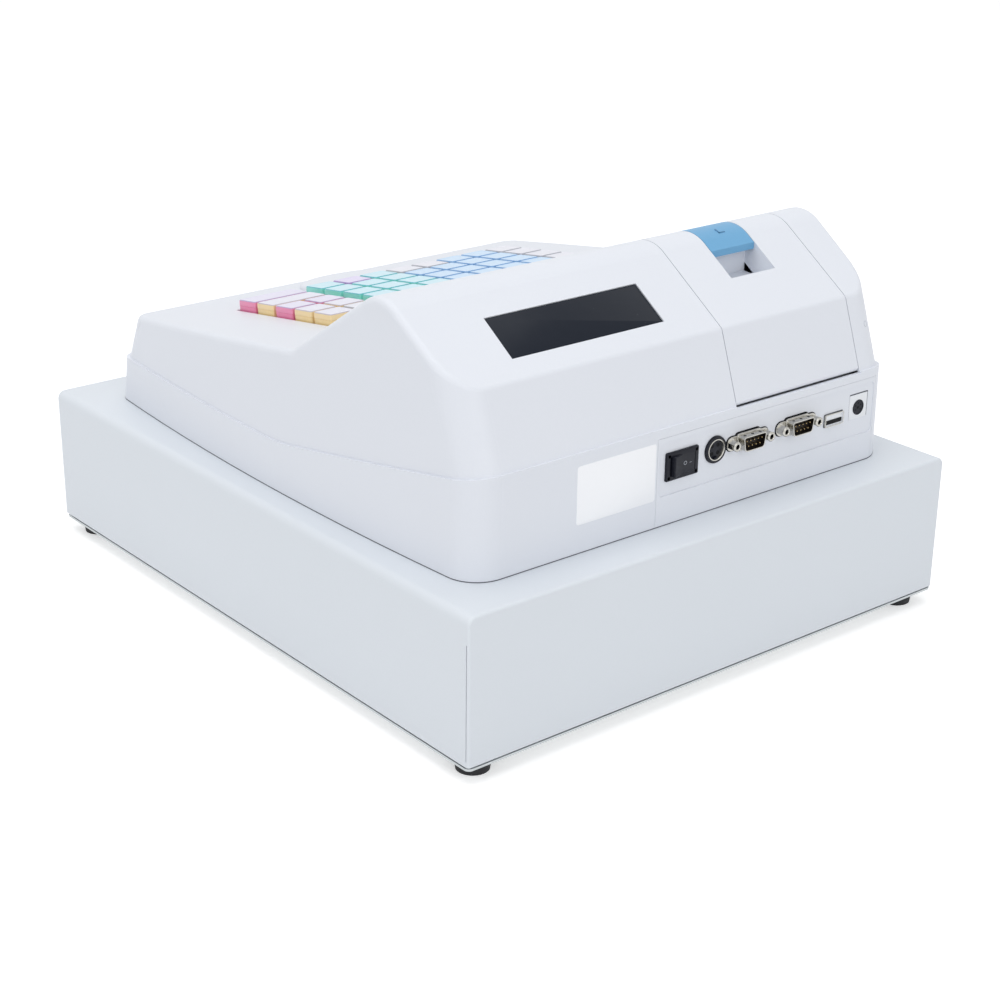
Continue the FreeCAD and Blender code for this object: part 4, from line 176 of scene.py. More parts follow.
class Effect(Nodes):
    """A shared effect under construction, made as a node group."""

    def __init__(self, name: str, inputs: dict[str, tuple[str, object]], outputs: dict[str, str]) -> None:
        """Start a group.

        Args:
            name: The effect's name.
            inputs: Input names, each with its kind of socket and its usual value.
            outputs: Output names, each with its kind of socket.
        """
        self.tree = bpy.data.node_groups.new(name, "ShaderNodeTree")
        for label, (kind, value) in inputs.items():
            socket = self.tree.interface.new_socket(label, in_out="INPUT", socket_type=f"NodeSocket{kind}")
            if value is not None:
                socket.default_value = value
        for label, kind in outputs.items():
            self.tree.interface.new_socket(label, in_out="OUTPUT", socket_type=f"NodeSocket{kind}")
        self.start = self.tree.nodes.new("NodeGroupInput").outputs
        self.end = self.tree.nodes.new("NodeGroupOutput").inputs

    def math(self, operation: str, *values: object) -> bpy.types.NodeSocket:
        """Place a math node.

        Args:
            operation: What it does.
            *values: Sockets or numbers for its inputs.

        Returns:
            Its output.
        """
        node = self.add("ShaderNodeMath", operation=operation)
        for socket, value in zip(node.inputs, values):
            if isinstance(value, (int, float)):
                socket.default_value = value
            else:
                self.link(value, socket)
        return node.outputs[0]

    def noise(self, place: bpy.types.NodeSocket, scale: object, detail: float) -> bpy.types.NodeSocket:
        """Place a noise texture.

        Args:
            place: The coordinates.
            scale: Bumps per metre, as a number or a socket.
            detail: How many finer layers it has.

        Returns:
            Its value.
        """
        node = self.add("ShaderNodeTexNoise")
        self.link(place, node.inputs["Vector"])
        if isinstance(scale, (int, float)):
            node.inputs["Scale"].default_value = scale
        else:
            self.link(scale, node.inputs["Scale"])
        node.inputs["Detail"].default_value = detail
        return node.outputs["Fac"]

    def ramp(self, value: bpy.types.NodeSocket, low: float, high: float) -> bpy.types.NodeSocket:
        """Stretch a span of values over 0 to 1, smoothly.

        Args:
            value: What is stretched.
            low: Where 0 is.
            high: Where 1 is.

        Returns:
            The stretched value.
        """
        node = self.add("ShaderNodeMapRange", interpolation_type="SMOOTHSTEP")
        self.link(value, node.inputs["Value"])
        node.inputs["From Min"].default_value = low
        node.inputs["From Max"].default_value = high
        return node.outputs["Result"]

    def mix(self, share: object, first: object, second: object) -> bpy.types.NodeSocket:
        """Mix two colours.

        Args:
            share: How much of the second.
            first: A colour or a socket.
            second: A colour or a socket.

        Returns:
            The mixed colour.
        """
        node = self.add("ShaderNodeMix", data_type="RGBA")
        for socket, value in ((node.inputs[0], share), (node.inputs[6], first), (node.inputs[7], second)):
            if isinstance(value, bpy.types.NodeSocket):
                self.link(value, socket)
            else:
                socket.default_value = value
        return node.outputs[2]


class Effects:
    """The shared effects, each built once."""

    def __init__(self) -> None:
        """Build every effect."""
        self.moulded = self._moulded()
        self.sprayed = self._sprayed()
        self.rubbed = self._rubbed()
        self.specks = self._specks()
        self.band = self._band()

    @staticmethod
    def _moulded() -> bpy.types.NodeTree:
        """Fine spark texture of a mould, with a slow change of tone.

        Returns:
            The group: place, colour, tone and grain in, colour, roughness and height out.
        """
        effect = Effect(
            "moulded_surface",
            {"Place": ("Vector", None), "Colour": ("Color", (0.8, 0.8, 0.8, 1)), "Tone": ("Float", 0.05),
             "Grain": ("Float", 1400.0), "Roughness": ("Float", 0.45)},
            {"Colour": "Color", "Roughness": "Float", "Height": "Float"},
        )
        place, colour, tone, grain, rough = effect.start[:5]
        fine = effect.noise(place, grain, 2.0)
        pits = effect.ramp(effect.noise(place, effect.math("MULTIPLY", grain, 0.43), 1.0), 0.35, 0.7)
        height = effect.math("ADD", effect.math("MULTIPLY", fine, 0.6), effect.math("MULTIPLY", pits, 0.4))
        slow = effect.noise(place, 9.0, 2.0)
        shade = effect.add("ShaderNodeHueSaturation")
        value = effect.math("ADD", 1.0, effect.math("MULTIPLY", effect.math("SUBTRACT", slow, 0.5), tone))
        fleck = effect.math("MULTIPLY", tone, 0.7)
        speck = effect.math("MULTIPLY", effect.math("SUBTRACT", fine, 0.5), fleck)
        effect.link(effect.math("ADD", value, speck), shade.inputs["Value"])
        effect.link(colour, shade.inputs["Color"])
        effect.link(shade.outputs["Color"], effect.end["Colour"])
        sheen = effect.math("MULTIPLY", effect.math("SUBTRACT", slow, 0.5), 0.14)
        effect.link(effect.math("ADD", rough, sheen), effect.end["Roughness"])
        effect.link(height, effect.end["Height"])
        return effect.tree

    @staticmethod
    def _sprayed() -> bpy.types.NodeTree:
        """Orange peel of a powder coat.

        Returns:
            The group: place, colour and peel in, colour, roughness and height out.
        """
        effect = Effect(
            "sprayed_coat",
            {"Place": ("Vector", None), "Colour": ("Color", (0.8, 0.8, 0.8, 1)), "Peel": ("Float", 520.0)},
            {"Colour": "Color", "Roughness": "Float", "Height": "Float"},
        )
        place, colour, peel = effect.start[:3]
        waves = effect.noise(place, peel, 1.0)
        grit = effect.noise(place, 2600.0, 1.0)
        slow = effect.noise(place, 6.0, 3.0)
        shade = effect.add("ShaderNodeHueSaturation")
        tone = effect.math("ADD", 0.985, effect.math("MULTIPLY", slow, 0.03))
        tone = effect.math("ADD", tone, effect.math("MULTIPLY", effect.math("SUBTRACT", grit, 0.5), 0.05))
        effect.link(tone, shade.inputs["Value"])
        effect.link(colour, shade.inputs["Color"])
        effect.link(shade.outputs["Color"], effect.end["Colour"])
        effect.link(effect.math("ADD", 0.38, effect.math("MULTIPLY", waves, 0.16)), effect.end["Roughness"])
        height = effect.math("ADD", effect.math("MULTIPLY", waves, 0.8), effect.math("MULTIPLY", grit, 0.2))
        effect.link(height, effect.end["Height"])
        return effect.tree

    @staticmethod
    def _rubbed() -> bpy.types.NodeTree:
        """Fine lines of rolled or turned metal, drawn out along one way.

        Returns:
            The group: place, stretch, colour and roughness in, colour, roughness and height out.
        """
        effect = Effect(
            "rubbed_metal",
            {"Place": ("Vector", None), "Stretch": ("Vector", (40.0, 900.0, 900.0)),
             "Colour": ("Color", (0.6, 0.6, 0.6, 1)), "Roughness": ("Float", 0.3)},
            {"Colour": "Color", "Roughness": "Float", "Height": "Float"},
        )
        place, stretch, colour, rough = effect.start[:4]
        drawn = effect.add("ShaderNodeVectorMath", operation="MULTIPLY")
        effect.link(place, drawn.inputs[0])
        effect.link(stretch, drawn.inputs[1])
        lines = effect.noise(drawn.outputs[0], 1.0, 3.0)
        stain = effect.noise(place, 60.0, 3.0)
        shade = effect.add("ShaderNodeHueSaturation")
        tone = effect.math("ADD", 0.86, effect.math("MULTIPLY", lines, 0.2))
        effect.link(effect.math("ADD", tone, effect.math("MULTIPLY", stain, 0.08)), shade.inputs["Value"])
        effect.link(colour, shade.inputs["Color"])
        effect.link(shade.outputs["Color"], effect.end["Colour"])
        rubbed = effect.math("MULTIPLY", effect.math("SUBTRACT", lines, 0.5), 0.3)
        blur = effect.math("MULTIPLY", effect.math("SUBTRACT", stain, 0.4), 0.2)
        effect.link(effect.math("ADD", rough, effect.math("ADD", rubbed, blur)), effect.end["Roughness"])
        effect.link(lines, effect.end["Height"])
        return effect.tree

    @staticmethod
    def _specks() -> bpy.types.NodeTree:
        """Settled dust: small light specks and a faint film.

        Returns:
            The group: place, colour, dust and roughness in, colour and roughness out.
        """
        effect = Effect(
            "settled_dust",
            {"Place": ("Vector", None), "Colour": ("Color", (0.02, 0.02, 0.03, 1)),
             "Dust": ("Color", (0.35, 0.37, 0.4, 1)), "Roughness": ("Float", 0.2)},
            {"Colour": "Color", "Roughness": "Float"},
        )
        place, colour, dust, rough = effect.start[:4]
        cells = effect.add("ShaderNodeTexVoronoi", feature="F1")
        effect.link(place, cells.inputs["Vector"])
        cells.inputs["Scale"].default_value = 260.0
        dots = effect.ramp(cells.outputs["Distance"], 0.06, 0.025)
        patches = effect.ramp(effect.noise(place, 45.0, 1.0), 0.52, 0.66)
        film = effect.math("MULTIPLY", effect.noise(place, 130.0, 4.0), 0.01)
        grains = effect.math("MULTIPLY", effect.math("MULTIPLY", dots, patches), 0.55)
        share = effect.math("ADD", grains, film)
        effect.link(effect.mix(share, colour, dust), effect.end["Colour"])
        effect.link(effect.math("ADD", rough, effect.math("MULTIPLY", share, 0.8)), effect.end["Roughness"])
        return effect.tree

    @staticmethod
    def _band() -> bpy.types.NodeTree:
        """How far a place lies out from a tilted plane, in metres.

        Returns:
            The group: place, a spot on the plane and its normal in, distance out.
        """
        effect = Effect(
            "height_over_plane",
            {"Place": ("Vector", None), "Spot": ("Vector", (0.0, 0.0, 0.0)),
             "Normal": ("Vector", (0.0, 0.0, 1.0))},
            {"Distance": "Float"},
        )
        place, spot, normal = effect.start[:3]
        away = effect.add("ShaderNodeVectorMath", operation="SUBTRACT")
        effect.link(place, away.inputs[0])
        effect.link(spot, away.inputs[1])
        along = effect.add("ShaderNodeVectorMath", operation="DOT_PRODUCT")
        effect.link(away.outputs[0], along.inputs[0])
        effect.link(normal, along.inputs[1])
        effect.link(along.outputs["Value"], effect.end["Distance"])
        return effect.tree


class Recipe(Protocol):
    """How a finish is made."""

    def make(self, effects: Effects) -> bpy.types.Material:
        """Make the material from the shared effects."""


@dataclass(frozen=True)
class MouldedPlastic:
    """Injection moulded plastic with the mould's fine texture."""

    name: str
    colour: Colour
    roughness: float = 0.45
    tone: float = 0.04
    grain: float = 1400.0
    depth: float = 0.00004
    strength: float = 0.35
    coat: float = 0.0
    gleam: float = 0.5
    coat_roughness: float = 0.06

    def make(self, effects: Effects) -> bpy.types.Material:
        """Make the material.

        Args:
            effects: The shared effects.

        Returns:
            The material.
        """
        shader = Shader(self.name)
        skin = shader.skin(
            effects.moulded, Colour=self.colour, Tone=self.tone, Grain=self.grain, Roughness=self.roughness,
        )
        shader.bump(skin.outputs["Height"], self.strength, self.depth)
        shader.set(IOR=PLASTIC_IOR, Specular_IOR_Level=self.gleam)
        shader.set(Coat_Weight=self.coat, Coat_Roughness=self.coat_roughness)
        return shader.material


@dataclass(frozen=True)
class PowderCoat:
    """Powder coated sheet steel."""

    name: str
    colour: Colour
    peel: float = 520.0
    depth: float = 0.00006
    strength: float = 0.3

    def make(self, effects: Effects) -> bpy.types.Material:
        """Make the material.

        Args:
            effects: The shared effects.

        Returns:
            The material.
        """
        shader = Shader(self.name)
        skin = shader.skin(effects.sprayed, Colour=self.colour, Peel=self.peel)
        shader.bump(skin.outputs["Height"], self.strength, self.depth)
        shader.set(IOR=PLASTIC_IOR)
        return shader.material


@dataclass(frozen=True)
class PlatedMetal:
    """Plated, rolled or turned metal with fine lines."""

    name: str
    colour: Colour
    roughness: float = 0.3
    stretch: Triple = (40.0, 900.0, 900.0)
    depth: float = 0.00002
    strength: float = 0.15

    def make(self, effects: Effects) -> bpy.types.Material:
        """Make the material.

        Args:
            effects: The shared effects.

        Returns:
            The material.
        """
        shader = Shader(self.name)
        skin = shader.skin(
            effects.rubbed, Colour=self.colour, Stretch=self.stretch, Roughness=self.roughness,
        )
        shader.bump(skin.outputs["Height"], self.strength, self.depth)
        shader.set(Metallic=1.0)
        return shader.material


@dataclass(frozen=True)
class SmokedPane:
    """A dark smooth window with settled dust."""

    name: str
    colour: Colour
    gleam: float = 0.1

    def make(self, effects: Effects) -> bpy.types.Material:
        """Make the material.

        Args:
            effects: The shared effects.

        Returns:
            The material.
        """
        shader = Shader(self.name)
        shader.skin(effects.specks, Colour=self.colour)
        shader.set(IOR=ACRYLIC_IOR, Specular_IOR_Level=self.gleam)
        return shader.material


@dataclass(frozen=True)
class KeyPlastic:
    """A coloured key base seen through its clear lid, a little paler from the lid's foot upwards."""

    name: str
    colour: Colour
    pale: Colour
    deck_spot: Triple
    deck_normal: Triple
    lid_foot: Pair = (0.0025, 0.0031)
    lid_share: float = 0.08
    tone: float = 0.05
    grain: float = 700.0
    roughness: float = 0.25
    coat: float = 0.3
    coat_roughness: float = 0.06

    def make(self, effects: Effects) -> bpy.types.Material:
        """Make the material.

        Args:
            effects: The shared effects.

        Returns:
            The material.
        """
        shader = Shader(self.name)
        out = shader.effect(effects.band, Spot=self.deck_spot, Normal=self.deck_normal)
        shader.link(shader.place(), out.inputs["Place"])
        fade = shader.add("ShaderNodeMapRange", interpolation_type="SMOOTHSTEP")
        shader.link(out.outputs["Distance"], fade.inputs["Value"])
        fade.inputs["From Min"].default_value = self.lid_foot[0]
        fade.inputs["From Max"].default_value = self.lid_foot[1]
        fade.inputs["To Max"].default_value = self.lid_share
        tint = shader.add("ShaderNodeMix", data_type="RGBA")
        shader.link(fade.outputs["Result"], tint.inputs[0])
        tint.inputs[6].default_value = self.colour
        tint.inputs[7].default_value = self.pale
        skin = shader.skin(effects.moulded, Tone=self.tone, Grain=self.grain, Roughness=self.roughness)
        shader.link(tint.outputs[2], skin.inputs["Colour"])
        shader.set(IOR=ACRYLIC_IOR, Coat_Weight=self.coat, Coat_Roughness=self.coat_roughness)
        return shader.material


class Finish(Enum):
    """The finishes of the register's pieces."""

    CASE_STEEL = "case_coat"
    ZINC = "zinc_sheet"
    BRIGHT = "bright_bar"
    RUBBER = "foot_rubber"
    NYLON = "roller_nylon"
    LOCK = "lock_chrome"
    INSERT = "till_insert"
    CLIP = "note_clip"
    HEAD = "head_plastic"
    PANE = "display_window"
    DISPLAY = "display_module"
    LATCH = "latch_blue"
    FIN = "heat_sink"
    DARK = "switch_black"
    PAPER = "receipt_paper"
    BOARD = "board_green"
    NICKEL = "port_nickel"
    WHITE = "port_white"
    GOLD = "contact_gold"
    SHADE = "deep_shade"
    MARK = "printed_grey"
    CORE = "plug_core"
    LINE = "shadow_line"
    SOFT_LINE = "faint_line"
    LATCH_MARK = "latch_mark_blue"
    STICKER = "blank_sticker"
    BRASS = "lock_brass"


MATERIAL_RECIPES: dict[Finish, Recipe] = {
    Finish.CASE_STEEL: PowderCoat("case_coat", srgb(222, 227, 233)),
    Finish.ZINC: PlatedMetal("zinc_sheet", srgb(190, 194, 196), 0.38, (30.0, 400.0, 400.0)),
    Finish.BRIGHT: PlatedMetal("bright_bar", srgb(205, 207, 209), 0.22, (30.0, 900.0, 900.0)),
    Finish.RUBBER: MouldedPlastic("foot_rubber", srgb(30, 31, 34), 0.75, 0.2, 900.0, 0.00008),
    Finish.NYLON: MouldedPlastic("roller_nylon", srgb(232, 231, 224), 0.4, 0.04, 500.0),
    Finish.LOCK: PlatedMetal("lock_chrome", srgb(214, 216, 218), 0.14, (900.0, 60.0, 900.0)),
    Finish.INSERT: MouldedPlastic("till_insert", srgb(44, 46, 50), 0.55, 0.12, 800.0, 0.00008),
    Finish.CLIP: MouldedPlastic("note_clip", srgb(58, 60, 64), 0.45, 0.1, 900.0),
    Finish.HEAD: MouldedPlastic("head_plastic", srgb(228, 231, 238), 0.46, 0.03, 1300.0, 0.00005, 0.3),
    Finish.PANE: SmokedPane("display_window", srgb(30, 35, 45)),
    Finish.DISPLAY: MouldedPlastic("display_module", srgb(34, 37, 42), 0.4, 0.1),
    Finish.LATCH: MouldedPlastic("latch_blue", srgb(106, 167, 209), 0.42, 0.1, 1100.0, 0.00006, 0.4),
    # The latch mark's darker blue is painted shade, standing in for the shadows round the raised mark.
    Finish.LATCH_MARK: MouldedPlastic("latch_mark_blue", srgb(66, 124, 166), 0.42, 0.1, 1100.0),
    Finish.FIN: PlatedMetal("heat_sink", srgb(200, 203, 206), 0.35, (400.0, 400.0, 30.0)),
    Finish.DARK: MouldedPlastic("switch_black", srgb(26, 28, 37), 0.32, 0.15, 1500.0, 0.00003, gleam=0.2),
    Finish.PAPER: MouldedPlastic("receipt_paper", srgb(240, 239, 234), 0.85, 0.03, 2500.0, 0.00002),
    Finish.BOARD: MouldedPlastic("board_green", srgb(28, 88, 58), 0.35, 0.25, 350.0, 0.00004, 0.35, 0.3),
    Finish.NICKEL: PlatedMetal("port_nickel", srgb(186, 184, 178), 0.16, (300.0, 300.0, 300.0)),
    Finish.WHITE: MouldedPlastic("port_white", srgb(236, 238, 242), 0.4, 0.02, 1000.0),
    Finish.GOLD: PlatedMetal("contact_gold", srgb(190, 168, 122), 0.25, (400.0, 60.0, 400.0)),
    Finish.SHADE: MouldedPlastic("deep_shade", srgb(16, 17, 20), 0.6, 0.1, 1500.0, gleam=0.15),
    Finish.MARK: MouldedPlastic("printed_grey", srgb(160, 164, 172), 0.5, 0.05, 2500.0),
    Finish.CORE: MouldedPlastic("plug_core", srgb(30, 26, 24), 0.3, 0.2, 1500.0, 0.00003, gleam=0.2),
    Finish.LINE: MouldedPlastic("shadow_line", srgb(84, 87, 96), 0.8, 0.1, 900.0),
    Finish.SOFT_LINE: MouldedPlastic("faint_line", srgb(200, 204, 213), 0.7, 0.06, 900.0),
    Finish.STICKER: MouldedPlastic(
        "blank_sticker", srgb(250, 251, 254), 0.35, 0.02, 600.0, 0.00002, 0.2, 0.3,
    ),
    Finish.BRASS: PlatedMetal("lock_brass", srgb(204, 178, 116), 0.25, (900.0, 60.0, 900.0)),
}

NODE_FINISHES: dict[Finish, tuple[str, ...]] = {
    Finish.CASE_STEEL: ("drawer_case", "drawer_tray", "drawer_front"),
    Finish.ZINC: ("base_pan", "case_rails", "latch_lever", "solenoid_body", "printer_frame", "feed_motor"),
    Finish.BRIGHT: ("clip_rod", "plunger", "ejector_spring"),
    Finish.RUBBER: ("rubber_feet", "platen_roller"),
    Finish.NYLON: ("front_rollers", "rear_rollers", "drive_gear"),
    Finish.LOCK: ("lock_housing",),
    Finish.BRASS: ("lock_barrel",),
    Finish.INSERT: ("bill_tray", "coin_tray"),
    Finish.CLIP: ("bill_clip_1", "bill_clip_2", "bill_clip_3", "bill_clip_4"),
    Finish.HEAD: ("lower_housing", "upper_housing", "printer_cover", "port_panel"),
    Finish.DISPLAY: ("customer_display", "operator_display"),
    Finish.LATCH: ("cover_latch",),
    Finish.FIN: ("print_head",),
    Finish.DARK: ("paper_bucket", "key_guide"),
    Finish.PAPER: ("paper_roll",),
    Finish.BOARD: ("main_board", "key_board"),
}


class Finishes:
    """The finished materials, each made once."""

    def __init__(self) -> None:
        """Make the shared effects and every material."""
        self.effects = Effects()
        self._made = {finish: recipe.make(self.effects) for finish, recipe in MATERIAL_RECIPES.items()}

    def get(self, finish: Finish) -> bpy.types.Material:
        """Give a finish's material."""
        return self._made[finish]

    def dress_nodes(self) -> None:
        """Give every carried-over node of the frame its material."""
        for finish, names in NODE_FINISHES.items():
            for name in names:
                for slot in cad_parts[name].material_slots:
                    slot.material = self._made[finish]
                LOG.info("dressed %s in %s", name, finish.value)


class Axis(Enum):
    """The three directions that a round piece may lie along."""

    X = "x"
    Y = "y"
    Z = "z"

    def turn(self) -> Matrix:
        """Give the turn that takes +Z onto this direction."""
        turns = {
            "x": Matrix.Rotation(math.radians(90), 4, "Y"),
            "y": Matrix.Rotation(math.radians(-90), 4, "X"),
            "z": Matrix.Identity(4),
        }
        return turns[self.value]


class Piece:
    """A piece under construction: parts in millimetres, joined into one mesh with their materials."""

    def __init__(self, name: str, finishes: Finishes) -> None:
        """Start a piece.

        Args:
            name: The piece's name.
            finishes: Where its materials come from.
        """
        self.name = name
        self.finishes = finishes
        self.materials: list[bpy.types.Material] = []
        self.mesh = bpy.data.meshes.new(name)
        self.parts = bmesh.new()

    def index(self, material: bpy.types.Material) -> int:
        """Give a material's place on the piece, adding it when it is new."""
        if material not in self.materials:
            self.materials.append(material)
        return self.materials.index(material)

    def slot(self, finish: Finish) -> int:
        """Give the number of a finish's material on the piece."""
        return self.index(self.finishes.get(finish))

    def take(self, part: bmesh.types.BMesh, finish: Finish, place: Matrix | None = None) -> None:
        """Join a part of one finish to the piece.

        Args:
            part: The part's mesh, used up by this.
            finish: What it is made of.
            place: Where it goes, if it isn't in place already.
        """
        paint(part, self.slot(finish))
        self.join(part, place)

    def join(self, part: bmesh.types.BMesh, place: Matrix | None = None) -> None:
        """Join a part whose faces already carry their material numbers.

        Args:
            part: The part's mesh, used up by this.
            place: Where it goes, if it isn't in place already.
        """
        if place is not None:
            bmesh.ops.transform(part, matrix=place, verts=part.verts)
        bmesh.ops.recalc_face_normals(part, faces=part.faces)
        held = bpy.data.meshes.new("part")
        part.to_mesh(held)
        part.free()
        self.parts.from_mesh(held)
        bpy.data.meshes.remove(held)

    def done(self, body: str, slot: str, *nodes: str, smooth: float = 35.0) -> bpy.types.Object:
        """Finish the piece: put it in the frame's metres and let it ride on its body.

        Args:
            body: The body that it rides on.
            slot: The record's material slot; not used.
            *nodes: The frame's nodes that it stands for.
            smooth: Edges flatter than this many degrees are shaded smooth.

        Returns:
            The piece's object.
        """
        bmesh.ops.scale(self.parts, vec=(MM, MM, MM), verts=self.parts.verts)
        limit = math.radians(smooth)
        for face in self.parts.faces:
            face.smooth = True
        for edge in self.parts.edges:
            edge.smooth = len(edge.link_faces) == 2 and edge.calc_face_angle(math.pi) < limit
        self.parts.to_mesh(self.mesh)
        self.parts.free()
        for material in self.materials:
            self.mesh.materials.append(material)
        item = bpy.data.objects.new(self.name, self.mesh)
        bpy.context.scene.collection.objects.link(item)
        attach(item, body)
        if nodes:
            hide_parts(*nodes)
        LOG.info("%s: %d faces on %s", self.name, len(self.mesh.polygons), body)
        return item


def paint(part: bmesh.types.BMesh, number: int) -> None:
    """Give all faces of a part one material number."""
    for face in part.faces:
        face.material_index = number


def kept(grown: dict[str, list], kind: type) -> list:
    """Give what is of one kind among the items that an extrusion made."""
    return [item for item in grown["geom"] if isinstance(item, kind)]


def block(low: Sequence[float], high: Sequence[float], bevel: float = 0.0) -> bmesh.types.BMesh:
    """Make a block with rounded edges.

    Args:
        low: Lowest corner.
        high: Highest corner.
        bevel: How far its edges are rounded.

    Returns:
        The block's mesh.
    """
    part = bmesh.new()
    bmesh.ops.create_cube(part, size=1.0)
    size = Vector(high) - Vector(low)
    bmesh.ops.scale(part, vec=size, verts=part.verts)
    bmesh.ops.translate(part, vec=(Vector(low) + Vector(high)) / 2, verts=part.verts)
    if bevel:
        bmesh.ops.bevel(
            part, geom=part.edges, offset=bevel, segments=2, profile=0.5, affect="EDGES", material=-1,
        )
    return part


def turned(
    profile: Sequence[Pair], axis: Axis, centre: Sequence[float], steps: int = 48,
) -> bmesh.types.BMesh:
    """Turn a profile a full turn about an axis.

    Args:
        profile: Radius and place along the axis, from end to end.
        axis: The direction of the axis.
        centre: Where the profile's own zero lies.
        steps: Faces round the turn.

    Returns:
        The turned mesh.
    """
    part = bmesh.new()
    points = [part.verts.new((radius, 0.0, along)) for radius, along in profile]
    for first, second in zip(points, points[1:]):
        part.edges.new((first, second))
    bmesh.ops.spin(
        part, geom=[*part.verts, *part.edges], cent=(0, 0, 0), axis=(0, 0, 1), angle=math.tau, steps=steps,
        use_merge=True,
    )
    bmesh.ops.remove_doubles(part, verts=part.verts, dist=0.001)
    bmesh.ops.transform(part, matrix=Matrix.Translation(centre) @ axis.turn(), verts=part.verts)
    return part


def plate(
    outline: Iterable[Pair], low: float, high: float, corner: float = 0.0, edge: float = 0.0,
    segments: int = 4,
) -> bmesh.types.BMesh:
    """Draw an outline up into a plate with rounded corners and eased upper and lower edges.

    Args:
        outline: Corners in x and y.
        low: The underside.
        high: The top.
        corner: How far the outline's corners are rounded.
        edge: How far the rims are eased.
        segments: Steps of the corners' rounding.

    Returns:
        The plate's mesh, lying flat.
    """
    part = bmesh.new()
    part.faces.new([part.verts.new((x, y, low)) for x, y in outline])
    if corner:
        bmesh.ops.bevel(
            part, geom=list(part.verts), offset=corner, segments=segments, profile=0.5, affect="VERTICES",
            material=-1,
        )
    grown = bmesh.ops.extrude_face_region(part, geom=part.faces[:], use_keep_orig=True)
    bmesh.ops.translate(part, vec=(0, 0, high - low), verts=kept(grown, bmesh.types.BMVert))
    bmesh.ops.recalc_face_normals(part, faces=part.faces)
    if edge:
        rims = [
            line for line in part.edges
            if abs(line.verts[0].co.z - line.verts[1].co.z) < edge / 10
            and line.calc_face_angle(0) > math.radians(60)
        ]
        bmesh.ops.bevel(part, geom=rims, offset=edge, segments=2, profile=0.5, affect="EDGES", material=-1)
    return part


def rectangle(half_x: float, half_y: float, x: float = 0.0, y: float = 0.0) -> list[Pair]:
    """Give a rectangle's corners about a middle."""
    sides = ((-1, -1), (1, -1), (1, 1), (-1, 1))
    return [(x + half_x * side_x, y + half_y * side_y) for side_x, side_y in sides]


def sunk(
    part: bmesh.types.BMesh, wall: float, depth: float, direction: Vector, floor_slot: int, wall_slot: int,
) -> None:
    """Sink the middle of a part's outermost face along one direction.

    Args:
        part: The part.
        wall: How wide a rim is left.
        depth: How deep it is sunk.
        direction: Outward direction of the face.
        floor_slot: The material number of the sunk floor.
        wall_slot: The material number of the sunk walls.
    """
    def rank(item: bmesh.types.BMFace) -> Pair:
        """Rank a face by how far out it lies, then by its area."""
        return (round(item.calc_center_median().dot(direction), 3), item.calc_area())

    face = max(part.faces, key=rank)
    bmesh.ops.inset_region(part, faces=[face], thickness=wall, use_even_offset=True)
    grown = bmesh.ops.extrude_face_region(part, geom=[face])
    faces = kept(grown, bmesh.types.BMFace)
    bmesh.ops.translate(part, vec=-direction * depth, verts=kept(grown, bmesh.types.BMVert))
    bmesh.ops.delete(part, geom=[item for item in part.faces if item == face], context="FACES_ONLY")
    for item in faces:
        item.material_index = floor_slot
        for edge in item.edges:
            for side in edge.link_faces:
                if side not in faces:
                    side.material_index = wall_slot


def lettering(text: str, size: float, depth: float, place: Matrix) -> bmesh.types.BMesh:
    """Make a raised mark from a character.

    Args:
        text: The character.
        size: Its height.
        depth: How far it stands up.
        place: Where it goes.

    Returns:
        The mark's mesh.
    """
    curve = bpy.data.curves.new("mark", "FONT")
    curve.body = text
    curve.size = size
    curve.extrude = depth / 2
    curve.align_x = "CENTER"
    curve.align_y = "CENTER"
    curve.resolution_u = 3
    item = bpy.data.objects.new("mark", curve)
    bpy.context.scene.collection.objects.link(item)
    made = bpy.data.meshes.new_from_object(item.evaluated_get(bpy.context.evaluated_depsgraph_get()))
    part = bmesh.new()
    part.from_mesh(made)
    bpy.data.objects.remove(item)
    bpy.data.curves.remove(curve)
    bpy.data.meshes.remove(made)
    bmesh.ops.transform(part, matrix=place, verts=part.verts)
    return part


class KeyTint(Enum):
    """The colours of the keys: the base, the paper under the lid and the lid's edges."""

    PINK = (srgb(240, 134, 174), srgb(229, 225, 242), srgb(176, 158, 196))
    YELLOW = (srgb(249, 220, 160), srgb(231, 230, 241), srgb(186, 178, 190))
    TEAL = (srgb(134, 234, 218), srgb(205, 234, 244), srgb(92, 182, 196))
    BLUE = (srgb(140, 188, 234), srgb(203, 226, 248), srgb(122, 166, 214))
    LILAC = (srgb(204, 166, 220), srgb(226, 218, 244), srgb(166, 142, 200))
    GREY = (srgb(208, 209, 214), srgb(232, 232, 240), srgb(172, 174, 184))


